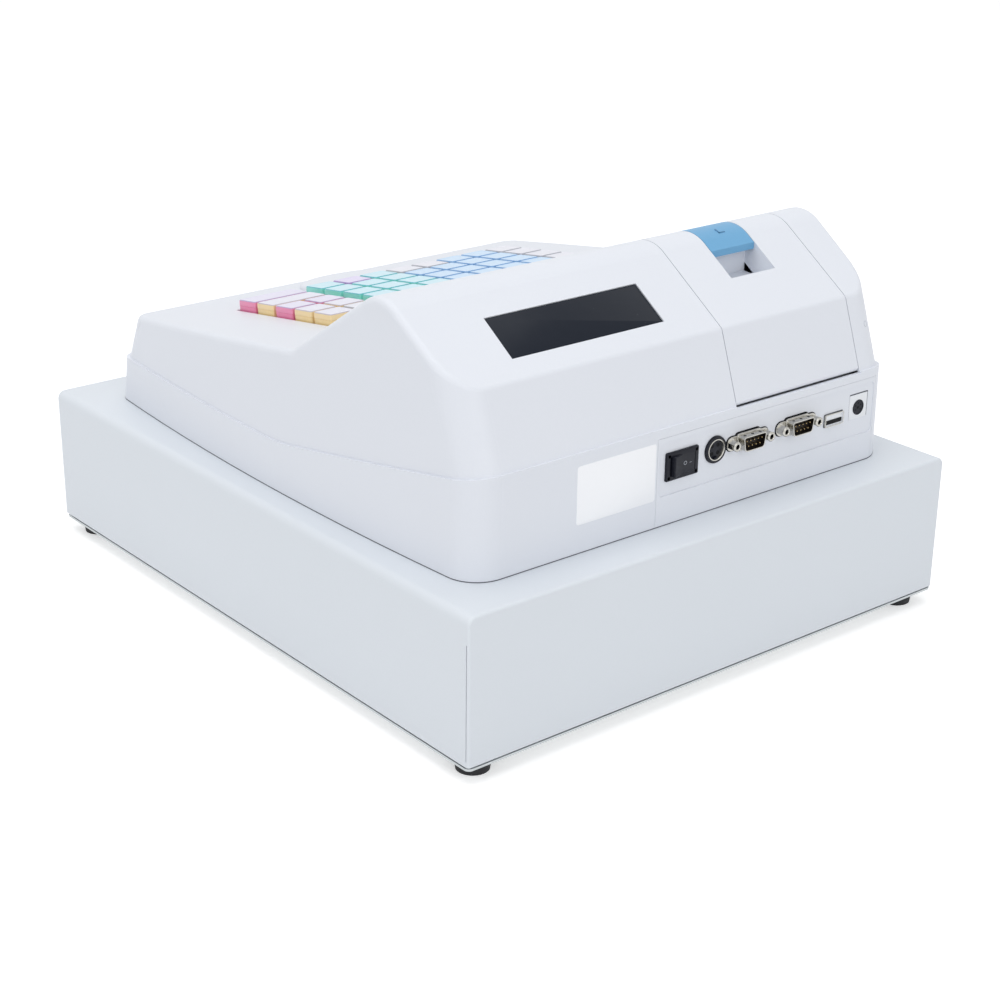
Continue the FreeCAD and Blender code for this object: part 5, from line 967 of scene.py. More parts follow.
@dataclass
class Keyboard:
    """Forty-eight keys in two blocks on the sloping deck, each with a clear lid over a coloured base."""

    finishes: Finishes
    deck_y: float = -148.3
    deck_z: float = 142.2
    deck_tilt: float = 8.37
    pitch: float = 19.05
    base: float = 17.2
    top: float = 16.9
    above: float = 6.0
    below: float = 3.0
    corner: float = 1.3
    lid_step: float = 2.6
    lid_gap: float = 0.2
    lid_groove: float = 0.2
    rim: float = 0.42
    window_inset: float = 1.1
    window_depth: float = 0.2
    stem: float = 6.0
    stem_foot: float = -11.5
    rows_start: float = 47.8
    left_start: float = -98.0
    right_start: float = 61.9

    def deck(self) -> Matrix:
        """Give the place of the deck's own level frame."""
        turn = Matrix.Rotation(math.radians(self.deck_tilt), 4, "X")
        return Matrix.Translation((0, self.deck_y, self.deck_z)) @ turn

    def materials(self, tint: KeyTint) -> list[bpy.types.Material]:
        """Make or find a tint's materials: the base, the paper under the lid and the lid's edges.

        Args:
            tint: The tint.

        Returns:
            The three materials.
        """
        names = [f"{part}_{tint.name.lower()}" for part in ("key", "insert", "edge")]
        if names[0] not in bpy.data.materials:
            base, paper, edge = tint.value
            angle = math.radians(self.deck_tilt)
            spot = (0.0, self.deck_y * MM, self.deck_z * MM)
            recipes = (
                KeyPlastic(names[0], base, paper, spot, (0.0, -math.sin(angle), math.cos(angle))),
                MouldedPlastic(names[1], paper, 0.4, 0.02, 900.0, 0.00002, 0.2),
                MouldedPlastic(names[2], edge, 0.3, 0.05, 900.0, 0.00002, 0.2),
            )
            for recipe in recipes:
                recipe.make(self.finishes.effects)
        return [bpy.data.materials[name] for name in names]

    def key(self, piece: Piece, x: float, row: int, columns: int, tint: KeyTint) -> None:
        """Add one key to a piece.

        Args:
            piece: The piece.
            x: The key field's left side.
            row: Its row from the front, from 0.
            columns: How many pitches it is wide.
            tint: Its colour.
        """
        extra = self.pitch * (columns - 1) / 2
        middle = (x + self.pitch * columns / 2, self.rows_start + self.pitch * (row + 0.5))
        part = bmesh.new()
        bmesh.ops.create_grid(part, x_segments=1, y_segments=1, size=0.5)
        bmesh.ops.scale(part, vec=(self.base + 2 * extra, self.base, 1), verts=part.verts)
        bmesh.ops.translate(part, vec=(0, 0, -self.below), verts=part.verts)
        bmesh.ops.bevel(
            part, geom=list(part.verts), offset=self.corner, segments=3, profile=0.5, affect="VERTICES",
            material=-1,
        )
        body, paper, rim = (piece.index(material) for material in self.materials(tint))
        face = part.faces[:][0]
        half = self.base / 2

        def side(level: float) -> float:
            """Give the half width of the tapering side at a level."""
            share = (level + self.below) / (self.above + self.below)
            return half - (half - self.top / 2) * share

        lid_foot, shoulder = self.lid_step + self.lid_gap, self.above - self.rim
        levels = [
            (self.lid_step, side(self.lid_step), body),
            (self.lid_step, side(self.lid_step) - self.lid_groove, body),
            (lid_foot, side(self.lid_step) - self.lid_groove, body),
            (lid_foot, side(self.lid_step) + self.lid_groove / 2, body),
            (shoulder, side(shoulder), body),
            (self.above, side(self.above) - self.rim, rim),
            (self.above, side(self.above) - self.window_inset, paper),
            (self.above - self.window_depth, side(self.above) - self.window_inset - self.window_depth, paper),
        ]
        here, width = -self.below, half
        face.material_index = body
        for level, reach, slot in levels:
            known = set(part.faces)
            grown = bmesh.ops.extrude_face_region(part, geom=[face])
            verts = kept(grown, bmesh.types.BMVert)
            bmesh.ops.delete(part, geom=[face], context="FACES_ONLY")
            face = kept(grown, bmesh.types.BMFace)[0]
            bmesh.ops.translate(part, vec=(0, 0, level - here), verts=verts)
            bmesh.ops.scale(part, vec=((reach + extra) / (width + extra), reach / width, 1), verts=verts)
            here, width = level, reach
            for item in part.faces:
                if item not in known:
                    item.material_index = slot
        for column in range(columns):
            spot = self.pitch * (column - (columns - 1) / 2)
            thick = self.stem / 2
            stem = block((spot - thick, -thick, self.stem_foot), (spot + thick, thick, -self.below))
            paint(stem, body)
            held = bpy.data.meshes.new("stem")
            stem.to_mesh(held)
            stem.free()
            part.from_mesh(held)
            bpy.data.meshes.remove(held)
        place = self.deck() @ Matrix.Translation((*middle, 0))
        piece.join(part, place)

    def left_tint(self, row: int, column: int) -> KeyTint:
        """Give the colour of a key in the left block.

        Args:
            row: Its row from the front.
            column: Its column from the left.

        Returns:
            The colour.
        """
        if row == 0:
            front = (
                KeyTint.GREY, KeyTint.BLUE, KeyTint.BLUE, KeyTint.GREY, KeyTint.GREY, KeyTint.TEAL,
                KeyTint.LILAC, KeyTint.TEAL,
            )
            return front[column]
        if column == 0:
            return KeyTint.GREY
        return KeyTint.BLUE if column < 5 else KeyTint.TEAL

    def build(self) -> None:
        """Build every key as its own piece or row."""
        for row in range(5):
            piece = Piece(f"keys_row_{row + 1}", self.finishes)
            for column in range(8):
                self.key(piece, self.left_start + self.pitch * column, row, 1, self.left_tint(row, column))
            piece.done(f"key_row_{row + 1}_body", "key_plastic", f"key_row_{row + 1}", smooth=25)
        for row, tint in enumerate((KeyTint.PINK, KeyTint.YELLOW)):
            piece = Piece(f"wide_lid_{row + 1}", self.finishes)
            self.key(piece, self.right_start, row, 2, tint)
            piece.done(f"wide_key_{row + 1}_body", "key_plastic", f"wide_key_{row + 1}", smooth=25)
        singles = {
            ("inner", 2): KeyTint.PINK, ("outer", 2): KeyTint.PINK,
            ("inner", 3): KeyTint.YELLOW, ("outer", 3): KeyTint.YELLOW,
            ("inner", 4): KeyTint.GREY, ("outer", 4): KeyTint.YELLOW,
        }
        for (side, row), tint in singles.items():
            piece = Piece(f"{side}_lid_{row + 1}", self.finishes)
            shift = self.pitch if side == "outer" else 0.0
            self.key(piece, self.right_start + shift, row, 1, tint)
            piece.done(f"{side}_key_{row + 1}_body", "key_plastic", f"{side}_key_{row + 1}", smooth=25)


def upright(x: float, z: float, y: float) -> Matrix:
    """Give the place of a flat part that is stood up, facing the customer.

    Args:
        x: Where its middle goes.
        z: The height of its middle.
        y: Where its underside goes.

    Returns:
        The place. The part's own x stays x, its y becomes the height and its z points to the customer.
    """
    turn = Matrix(((1, 0, 0, 0), (0, 0, 1, 0), (0, 1, 0, 0), (0, 0, 0, 1)))
    return Matrix.Translation((x, y, z)) @ turn


@dataclass
class Port:
    """What every rear port stands in: the recess's face, the panel's back and the board behind it."""

    finishes: Finishes
    face: float = 171.7
    back: float = 170.0
    board: float = 112.2
    room: float = 0.3
    outline_back: float = -0.4

    def foot(
        self, left: float, right: float, depth: float, top: float, bevel: float = 0.0,
    ) -> bmesh.types.BMesh:
        """Make a block behind the panel that carries a port on the board.

        Args:
            left: Its lowest x.
            right: Its highest x.
            depth: How far it reaches in from the face.
            top: Its height.
            bevel: How far its edges are rounded.

        Returns:
            The block's mesh.
        """
        return block((left, self.face - depth, self.board), (right, self.back - self.room, top), bevel)


@dataclass
class Switch(Port):
    """The power switch: a bezel with its hollow body, and the rocker with its two marks."""

    x: float = 11.6
    z: float = 119.2
    half: Pair = (11.2, 7.6)
    corner: float = 0.8
    proud: float = 1.5
    depth: float = 13.0
    wall: float = 1.0
    edge: float = 0.7
    body_edge: float = 0.3
    rocker_room: float = 8.65
    rocker_half: Pair = (8.3, 5.5)
    rocker_edge: float = 0.45
    rocker_back: float = -3.0
    pivot_depth: float = 2.0
    valley: float = 1.9
    tip: float = 3.4
    tip_inset: float = 0.4
    tilt: float = 8.0
    sharp: float = 40.0
    marks: tuple[tuple[str, float], ...] = (("O", 0.16), ("–", 0.58))
    mark_size: float = 3.0
    mark_depth: float = 0.1

    def bezel(self) -> None:
        """Build the eased bezel and the hollow body behind it."""
        piece = Piece("switch_bezel", self.finishes)
        dark, shade = piece.slot(Finish.DARK), piece.slot(Finish.SHADE)
        half_x, half_z = self.half
        part = plate(rectangle(half_x, half_z), 0, self.proud, self.corner)
        rims = [
            edge for edge in part.edges if all(abs(vert.co.z - self.proud) < TINY for vert in edge.verts)
        ]
        bmesh.ops.bevel(
            part, geom=rims, offset=self.edge, segments=3, profile=0.5, affect="EDGES", material=-1,
        )
        paint(part, dark)
        rim = half_x - self.edge - self.rocker_room
        sunk(part, rim, self.depth - self.wall, Vector((0, 0, 1)), shade, dark)
        piece.join(part, upright(self.x, self.z, self.face))
        inner_x, inner_z = half_x - self.wall, half_z - self.wall
        can = block(
            (self.x - inner_x, self.face - self.depth, self.z - inner_z),
            (self.x + inner_x, self.face - self.proud / 4, self.z + inner_z), self.body_edge,
        )
        open_side = [face for face in can.faces if face.calc_center_median().y > self.face - self.proud]
        bmesh.ops.delete(can, geom=open_side, context="FACES_ONLY")
        piece.take(can, Finish.DARK)
        piece.done("register_body", "dark_plastic", "rocker_bezel")

    def rocker(self) -> None:
        """Build the tipping rocker with its raised marks."""
        piece = Piece("switch_rocker", self.finishes)
        wide, tall = self.rocker_half
        reach, tip = wide - self.rocker_edge, wide - self.tip_inset
        outline = [
            (-reach, self.rocker_back), (reach, self.rocker_back), (tip, self.tip), (0, self.valley),
            (-tip, self.tip),
        ]
        part = bmesh.new()
        part.faces.new([part.verts.new((x, y, -tall)) for x, y in outline])
        grown = bmesh.ops.extrude_face_region(part, geom=part.faces[:], use_keep_orig=True)
        bmesh.ops.translate(part, vec=(0, 0, 2 * tall), verts=kept(grown, bmesh.types.BMVert))
        bmesh.ops.recalc_face_normals(part, faces=part.faces)
        edges = [edge for edge in part.edges if edge.calc_face_angle(0) > math.radians(self.sharp)]
        bmesh.ops.bevel(
            part, geom=edges, offset=self.rocker_edge, segments=3, profile=0.5, affect="EDGES", material=-1,
        )
        pivot = Matrix.Translation((self.x, self.face + self.proud - self.pivot_depth, self.z))
        pivot = pivot @ Matrix.Rotation(math.radians(self.tilt), 4, "Z")
        piece.take(part, Finish.DARK, pivot)
        rise = self.tip - self.valley
        lean = Matrix.Rotation(-math.atan2(rise, wide), 4, "Z")
        facing = Matrix.Rotation(math.pi, 4, "Z") @ Matrix.Rotation(math.pi / 2, 4, "X")
        for text, share in self.marks:
            height = self.valley + rise * share + self.mark_depth / 2
            spot = pivot @ Matrix.Translation((-wide * share, height, 0)) @ lean @ facing
            piece.take(lettering(text, self.mark_size, self.mark_depth, spot), Finish.MARK)
        piece.done("power_rocker_body", "dark_plastic", "power_rocker")

    def build(self) -> None:
        """Build the bezel and the rocker."""
        self.bezel()
        self.rocker()


@dataclass
class PowerInlet(Port):
    """The round power socket: sleeve, metal ring, floor with four holes, key notch and foot.

    The profiles give how far in from the rim, or out from a hole's middle, and how far out of the face.
    """

    x: float = -12.2
    z: float = 121.0
    radius: float = 7.25
    sleeve: Profile = (
        (0.2, -12.0), (0.0, -11.8), (0.0, 1.0), (0.35, 1.4), (1.2, 1.5), (1.35, 1.3), (1.35, -4.0),
    )
    ring: Profile = ((1.35, 1.2), (1.5, 1.42), (1.95, 1.42), (2.1, 1.2), (2.1, -4.0))
    floor: Profile = ((1.3, -4.5), (1.3, -0.2), (2.4, 0.1), (7.25, 0.1))
    hole: Profile = ((1.05, -0.05), (1.05, 0.09), (0.8, 0.09), (0.7, 0.03), (0.0, 0.03))
    hole_reach: float = 2.1
    hole_steps: int = 20
    notch_half: float = 1.1
    notch_y: Pair = (-0.3, 1.35)
    notch_z: Pair = (1.9, 3.2)
    notch_edge: float = 0.2
    foot_half: float = 5.0
    foot_depth: float = 11.2
    foot_top: float = 1.5
    foot_edge: float = 0.3

    def build(self) -> None:
        """Build the socket."""
        piece = Piece("power_inlet", self.finishes)
        centre = (self.x, self.face, self.z)
        low, reach = self.z - self.radius, self.hole_reach
        rings = ((self.sleeve, Finish.DARK), (self.ring, Finish.NICKEL), (self.floor, Finish.DARK))
        for profile, finish in rings:
            points = [(self.radius - inset, along) for inset, along in profile]
            piece.take(turned(points, Axis.Y, centre), finish)
        for side_x in (-1, 1):
            for side_z in (-1, 1):
                spot = (self.x + reach * side_x, self.face + self.floor[-1][1], self.z + reach * side_z)
                piece.take(turned(self.hole, Axis.Y, spot, self.hole_steps), Finish.SHADE)
        notch = block(
            (self.x - self.notch_half, self.face + self.notch_y[0], low + self.notch_z[0]),
            (self.x + self.notch_half, self.face + self.notch_y[1], low + self.notch_z[1]), self.notch_edge,
        )
        piece.take(notch, Finish.DARK)
        left, right = self.x - self.foot_half, self.x + self.foot_half
        piece.take(self.foot(left, right, self.foot_depth, low + self.foot_top, self.foot_edge), Finish.DARK)
        piece.done("register_body", "dark_plastic", "power_socket")


@dataclass
class SerialPlugs(Port):
    """The two nine-pin plugs: flange, slanted shell, dark core with its pins, and jack nuts."""

    places: Pair = (-35.5, -71.8)
    z: float = 121.3
    half: Pair = (8.4, 4.1)
    slant: float = 1.45
    corner: float = 1.7
    wall: float = 0.5
    proud: float = 5.0
    core_level: float = 2.2
    flange_half: Pair = (15.3, 3.9)
    flange: float = 1.0
    flange_edge: float = 0.25
    flange_steps: int = 6
    shade: float = 0.35
    shade_edge: float = 0.2
    shade_collar: float = 1.0
    shoulder_collar: float = 0.8
    shoulder_levels: Pair = (-0.6, 0.7)
    shoulder_edge: float = 0.3
    pin_radius: float = 0.42
    pin_pitch: float = 2.77
    pin_row: float = 1.42
    pin: Profile = ((1.0, 0.0), (1.0, 1.8), (0.6, 2.2), (0.0, 2.25))
    pin_rows: tuple[tuple[int, int], ...] = ((1, 5), (-1, 4))
    dimple: Profile = ((0.95, 0.0), (0.8, 0.26), (0.3, 0.3), (0.0, 0.12))
    dimple_rows: tuple[tuple[int, int], ...] = ((1, 3), (-1, 2))
    dimple_level: float = 2.7
    dimple_inset: float = 0.22
    body_depth: float = 12.7
    body_edge: float = 0.4
    neck_half: Pair = (8.2, 3.9)
    neck_y: Pair = (-1.0, 0.5)
    nut_reach: float = 12.495
    nut_flats: float = 4.75
    nut_height: float = 5.0
    nut_bore: float = 1.3
    nut_steps: int = 24
    nut_top: float = 0.5
    nut_ease: Profile = ((0.05, 0.62), (0.12, 0.25), (0.3, 0.3))
    thread_pitch: float = 0.6
    thread_turns: int = 6
    thread_depth: Pair = (0.05, 0.02)

    def outline(self, grow: float) -> list[Pair]:
        """Give the slanted outline of a shell, grown by an amount."""
        wide, tall = self.half[0] + grow, self.half[1] + grow
        return [(self.slant - wide, -tall), (wide - self.slant, -tall), (wide, tall), (-wide, tall)]

    def flanges(self, piece: Piece, stand: Matrix) -> None:
        """Add a plug's flange and shoulder, and the dark gap round both.

        Args:
            piece: The piece that holds the plugs.
            stand: The plug's place.
        """
        half_x, half_z = self.flange_half
        shade, edge, steps = self.shade, self.shade_edge, self.flange_steps
        wide = rectangle(half_x + shade, half_z + shade)
        piece.take(
            plate(wide, self.outline_back, shade, half_z - 0.1, edge, steps), Finish.SHADE, stand,
        )
        collar, corner = self.outline(self.shade_collar + shade), self.corner + self.shade_collar
        piece.take(plate(collar, self.outline_back, shade, corner, edge), Finish.SHADE, stand)
        flange = plate(
            rectangle(half_x, half_z), 0, self.flange, half_z - self.shade_edge, self.flange_edge, steps,
        )
        piece.take(flange, Finish.NICKEL, stand)
        low, high = (self.flange + level for level in self.shoulder_levels)
        shoulder = plate(
            self.outline(self.shoulder_collar), low, high, self.corner - self.shoulder_levels[0],
            self.shoulder_edge,
        )
        piece.take(shoulder, Finish.NICKEL, stand)

    def shell(self, piece: Piece, x: float, stand: Matrix) -> None:
        """Add a plug's shell with its sunk core, its pins and the dimples that hold the core.

        Args:
            piece: The piece that holds the plugs.
            x: The plug's middle.
            stand: The plug's place.
        """
        core = piece.slot(Finish.CORE)
        part = plate(self.outline(0), self.flange, self.flange + self.proud, self.corner)
        paint(part, piece.slot(Finish.NICKEL))
        sunk(part, self.wall, self.proud - self.core_level, Vector((0, 0, 1)), core, core)
        piece.join(part, stand)
        for side, count in self.pin_rows:
            for index in range(count):
                along = self.pin_pitch * (index - (count - 1) / 2)
                spot = (
                    x + along, self.face + self.flange + self.core_level, self.z + self.pin_row * side,
                )
                points = [(self.pin_radius * share, level) for share, level in self.pin]
                piece.take(turned(points, Axis.Y, spot, 12), Finish.GOLD)
        for side, count in self.dimple_rows:
            for index in range(count):
                along = 2 * self.pin_pitch * (index - (count - 1) / 2)
                spot = (
                    x + along, self.face + self.flange + self.dimple_level,
                    self.z + side * (self.half[1] - self.dimple_inset),
                )
                points = [(radius, side * level) for radius, level in self.dimple]
                piece.take(turned(points, Axis.Z, spot, 16), Finish.SHADE)

    def nut(self, piece: Piece, spot: Triple) -> None:
        """Add one hexagon jack nut with its threaded bore.

        Args:
            piece: The piece that holds the nuts.
            spot: The middle of its foot.
        """
        flat, bore, top = self.nut_flats / 2, self.nut_bore, self.nut_height
        corner, height = flat / math.cos(math.pi / 6), top - self.nut_top
        part = bmesh.new()
        bmesh.ops.create_cone(part, segments=6, radius1=corner, radius2=corner, depth=height)
        bmesh.ops.translate(part, vec=(0, 0, height / 2), verts=part.verts)
        piece.take(part, Finish.NICKEL, Matrix.Translation(spot) @ Axis.Y.turn())
        (inset, foot), (drop, lip), (mouth, sink) = self.nut_ease
        collar = [
            (corner - inset, top - foot), (flat, top - drop), (flat - lip, top), (bore + mouth, top),
            (bore, top - sink), (bore, self.nut_top), (0, self.nut_top),
        ]
        piece.take(turned(collar, Axis.Y, spot, self.nut_steps), Finish.NICKEL)
        crest, root = bore - self.thread_depth[0], bore + self.thread_depth[1]
        thread = [(bore + 0.1, top - self.nut_top), (crest, top - self.thread_pitch)]
        for turn in range(self.thread_turns):
            level = top - self.thread_pitch * (turn + 1)
            thread += [(crest, level), (root, level - self.thread_pitch / 2)]
        piece.take(turned(thread, Axis.Y, spot, 16), Finish.SHADE)

    def build(self) -> None:
        """Build both plugs and their nuts."""
        piece, nuts = Piece("serial_plugs", self.finishes), Piece("plug_nuts", self.finishes)
        piece.slot(Finish.NICKEL)
        for x in self.places:
            stand = upright(x, self.z, self.face)
            self.flanges(piece, stand)
            self.shell(piece, x, stand)
            half = self.flange_half[0]
            body = self.foot(x - half, x + half, self.body_depth, self.z + self.half[1], self.body_edge)
            piece.take(body, Finish.SHADE)
            half_x, half_z = self.neck_half
            neck = block(
                (x - half_x, self.back + self.neck_y[0], self.z - half_z),
                (x + half_x, self.face + self.neck_y[1], self.z + half_z),
            )
            piece.take(neck, Finish.NICKEL)
            for side in (-1, 1):
                self.nut(nuts, (x + side * self.nut_reach, self.face + self.flange, self.z))
        piece.done("register_body", "nickel_shell", "serial_ports")
        nuts.done("register_body", "nickel_shell", "jack_nuts")


@dataclass
class UsbSocket(Port):
    """The USB socket: bright shell in a thin dark gap of painted shadow, dark tongue with its contacts, and
    legs.
    """

    x: float = -101.5
    z: float = 117.7
    half: Pair = (7.2, 3.5)
    levels: Pair = (-11.5, 1.3)
    corner: float = 0.7
    wall: float = 0.45
    room_depth: float = 1.0
    outline: float = 0.32
    outline_level: float = 0.08
    outline_corner: float = 0.8
    tongue_half: float = 1.15
    tongue_drop: float = 1.2
    tongue_inset: float = 1.0
    tongue_levels: Pair = (-1.5, 0.7)
    tongue_corner: float = 0.2
    tongue_edge: float = 0.15
    contact_pitch: float = 2.5
    contact_half: Pair = (0.5, 0.06)
    contact_levels: Pair = (-1.2, 0.2)
    leg: float = 0.5
    leg_depth: float = 11.0

    def build(self) -> None:
        """Build the socket."""
        piece = Piece("usb_socket", self.finishes)
        nickel, white = piece.slot(Finish.NICKEL), piece.slot(Finish.WHITE)
        stand = upright(self.x, self.z, self.face)
        half_x, half_z = self.half
        # The thin plate round the shell is painted gap shadow.
        around = rectangle(half_x + self.outline, half_z + self.outline)
        piece.take(
            plate(around, self.outline_back, self.outline_level, self.outline_corner), Finish.LINE, stand,
        )
        shell = plate(rectangle(half_x, half_z), *self.levels, self.corner)
        paint(shell, nickel)
        sunk(shell, self.wall, self.room_depth, Vector((0, 0, 1)), white, white)
        piece.join(shell, stand)
        tongue = rectangle(half_x - self.tongue_inset, self.tongue_half, 0, -self.tongue_drop)
        tongue = plate(tongue, *self.tongue_levels, self.tongue_corner, self.tongue_edge)
        piece.take(tongue, Finish.SHADE, stand)
        for index in range(4):
            along = self.contact_pitch * (index - 1.5)
            strip = rectangle(*self.contact_half, along, self.tongue_half - self.tongue_drop)
            piece.take(plate(strip, *self.contact_levels), Finish.GOLD, stand)
        for left in (self.x - half_x, self.x + half_x - self.leg):
            piece.take(self.foot(left, left + self.leg, self.leg_depth, self.z), Finish.NICKEL)
        piece.done("register_body", "nickel_shell", "usb_port")


@dataclass
class DisplaySocket(Port):
    """The white square block with its round dark socket and the thin painted gap shadow round it."""

    x: float = -120.8
    z: float = 120.9
    half: float = 6.9
    levels: Pair = (-12.0, 0.4)
    corner: float = 0.35
    edge: float = 0.15
    outline: float = 0.32
    outline_level: float = 0.06
    outline_corner: float = 0.4
    bore: float = 4.3
    drop: float = 0.6
    rim: Profile = (
        (0.0, -0.1), (0.0, 0.25), (0.25, 0.4), (0.55, 0.4), (0.65, 0.2), (0.85, 0.05), (4.3, 0.05),
    )
    pin: Profile = ((0.55, 0.0), (0.5, 0.05), (0.0, 0.05))
    pin_angles: tuple[int, ...] = (30, 90, 150, 215, 325)
    pin_share: float = 0.53
    pin_level: float = 0.05
    key_low: Triple = (-0.9, 0.0, -0.9)
    key_high: Triple = (0.9, 0.16, 0.5)
    key_edge: float = 0.08
    foot_depth: float = 11.0
    foot_top: float = 0.5

    def build(self) -> None:
        """Build the block and the socket in it."""
        piece = Piece("display_socket", self.finishes)
        stand = upright(self.x, self.z, self.face)
        half, edge = self.half, self.outline
        # The thin dark plate round the block is painted gap shadow.
        gap = rectangle(half + edge, half + edge, -edge, edge)
        piece.take(
            plate(gap, self.outline_back, self.outline_level, self.outline_corner), Finish.LINE, stand,
        )
        piece.take(plate(rectangle(half, half), *self.levels, self.corner, self.edge), Finish.WHITE, stand)
        centre = Vector((self.x, self.face + self.levels[1], self.z - self.drop))
        rim = [(self.bore - inset, level) for inset, level in self.rim]
        piece.take(turned(rim, Axis.Y, centre), Finish.DARK)
        reach = self.bore * self.pin_share
        for angle in map(math.radians, self.pin_angles):
            spot = centre + Vector((reach * math.cos(angle), self.pin_level, reach * math.sin(angle)))
            piece.take(turned(self.pin, Axis.Y, spot, 12), Finish.SHADE)
        key = block(centre + Vector(self.key_low), centre + Vector(self.key_high), self.key_edge)
        piece.take(key, Finish.SHADE)
        top = self.z - half + self.foot_top
        piece.take(self.foot(self.x - half, self.x + half, self.foot_depth, top), Finish.WHITE)
        piece.done("register_body", "white_plastic", "display_port")


def node_mesh(name: str) -> bmesh.types.BMesh:
    """Give a merged copy of a frame node's mesh, in millimetres."""
    part = bmesh.new()
    part.from_mesh(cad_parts[name].data)
    bmesh.ops.remove_doubles(part, verts=part.verts, dist=MM / 1000)
    bmesh.ops.scale(part, vec=(1 / MM, 1 / MM, 1 / MM), verts=part.verts)
    return part


def standing_on(name: str, start: Triple, direction: Triple, lean: float = 0.0) -> Matrix:
    """Find the place of a small mark on a node, where a ray first meets it.

    Args:
        name: The node.
        start: Where the ray starts.
        direction: Where it goes.
        lean: A turn of the mark about its own upright, in degrees.

    Returns:
        The place, with +Z out of the surface and +X kept level.
    """
    part = node_mesh(name)
    spot, out, _, _ = BVHTree.FromBMesh(part).ray_cast(Vector(start), Vector(direction))
    part.free()
    across = Vector((1, 0, 0)) - out * out.x
    across.normalize()
    turn = Matrix((across, out.cross(across), out)).transposed().to_4x4()
    return Matrix.Translation(spot) @ turn @ Matrix.Rotation(math.radians(lean), 4, "Z")


@dataclass
class Windows:
    """The two dark display windows, each let into its slope with a thin gap all round, darkened by a flange
    in painted shade.
    """

    finishes: Finishes
    ridge: Pair = (100.8, 217.1)
    crease: Pair = (157.5, 179.0)
    valley: Pair = (27.0, 168.0)
    customer_x: Pair = (3.7, 102.5)
    customer_start: float = 125.3
    customer_length: float = 26.4
    operator_x: Pair = (20.0, 128.0)
    operator_start: float = 50.0
    operator_length: float = 36.0
    recess: float = 0.45
    foot: float = 3.5
    gap: float = 0.28
    flange: float = 3.0
    flange_top: float = 2.55
    corner: float = 0.5
    edge: float = 0.12

    def window(
        self, name: str, node: str, top: Pair, end: Pair, across: Pair, start: float, length: float,
    ) -> None:
        """Build one window on a slope.

        Args:
            name: The piece's name.
            node: The frame's node that it stands for.
            top: Where the slope's own zero lies, in y and z.
            end: Another point of the slope.
            across: From and to which x the window goes.
            start: The y of its upper edge on the slope.
            length: How long it is along the slope.
        """
        angle = math.atan2(end[1] - top[1], end[0] - top[0])
        slope = Matrix.Translation((0, *top)) @ Matrix.Rotation(angle, 4, "X")
        along = (start - top[0]) / math.cos(angle)
        middle = (sum(across) / 2, along + length / 2)
        half = ((across[1] - across[0]) / 2, length / 2)
        piece = Piece(name, self.finishes)
        pane = rectangle(half[0] - self.gap, half[1] - self.gap, *middle)
        piece.take(plate(pane, -self.foot, -self.recess, self.corner, self.edge), Finish.PANE, slope)
        # The flange under the gap is painted shade, so the gap reads as a dark line.
        rim = rectangle(half[0] + self.flange, half[1] + self.flange, *middle)
        piece.take(plate(rim, -self.foot, -self.flange_top), Finish.SHADE, slope)
        piece.done("register_body", "smoked_window", node)

    def build(self) -> None:
        """Build both windows."""
        self.window(
            "customer_pane", "customer_window", self.ridge, self.crease, self.customer_x, self.customer_start,
            self.customer_length,
        )
        self.window(
            "operator_pane", "operator_window", self.valley, self.ridge, self.operator_x, self.operator_start,
            self.operator_length,
        )


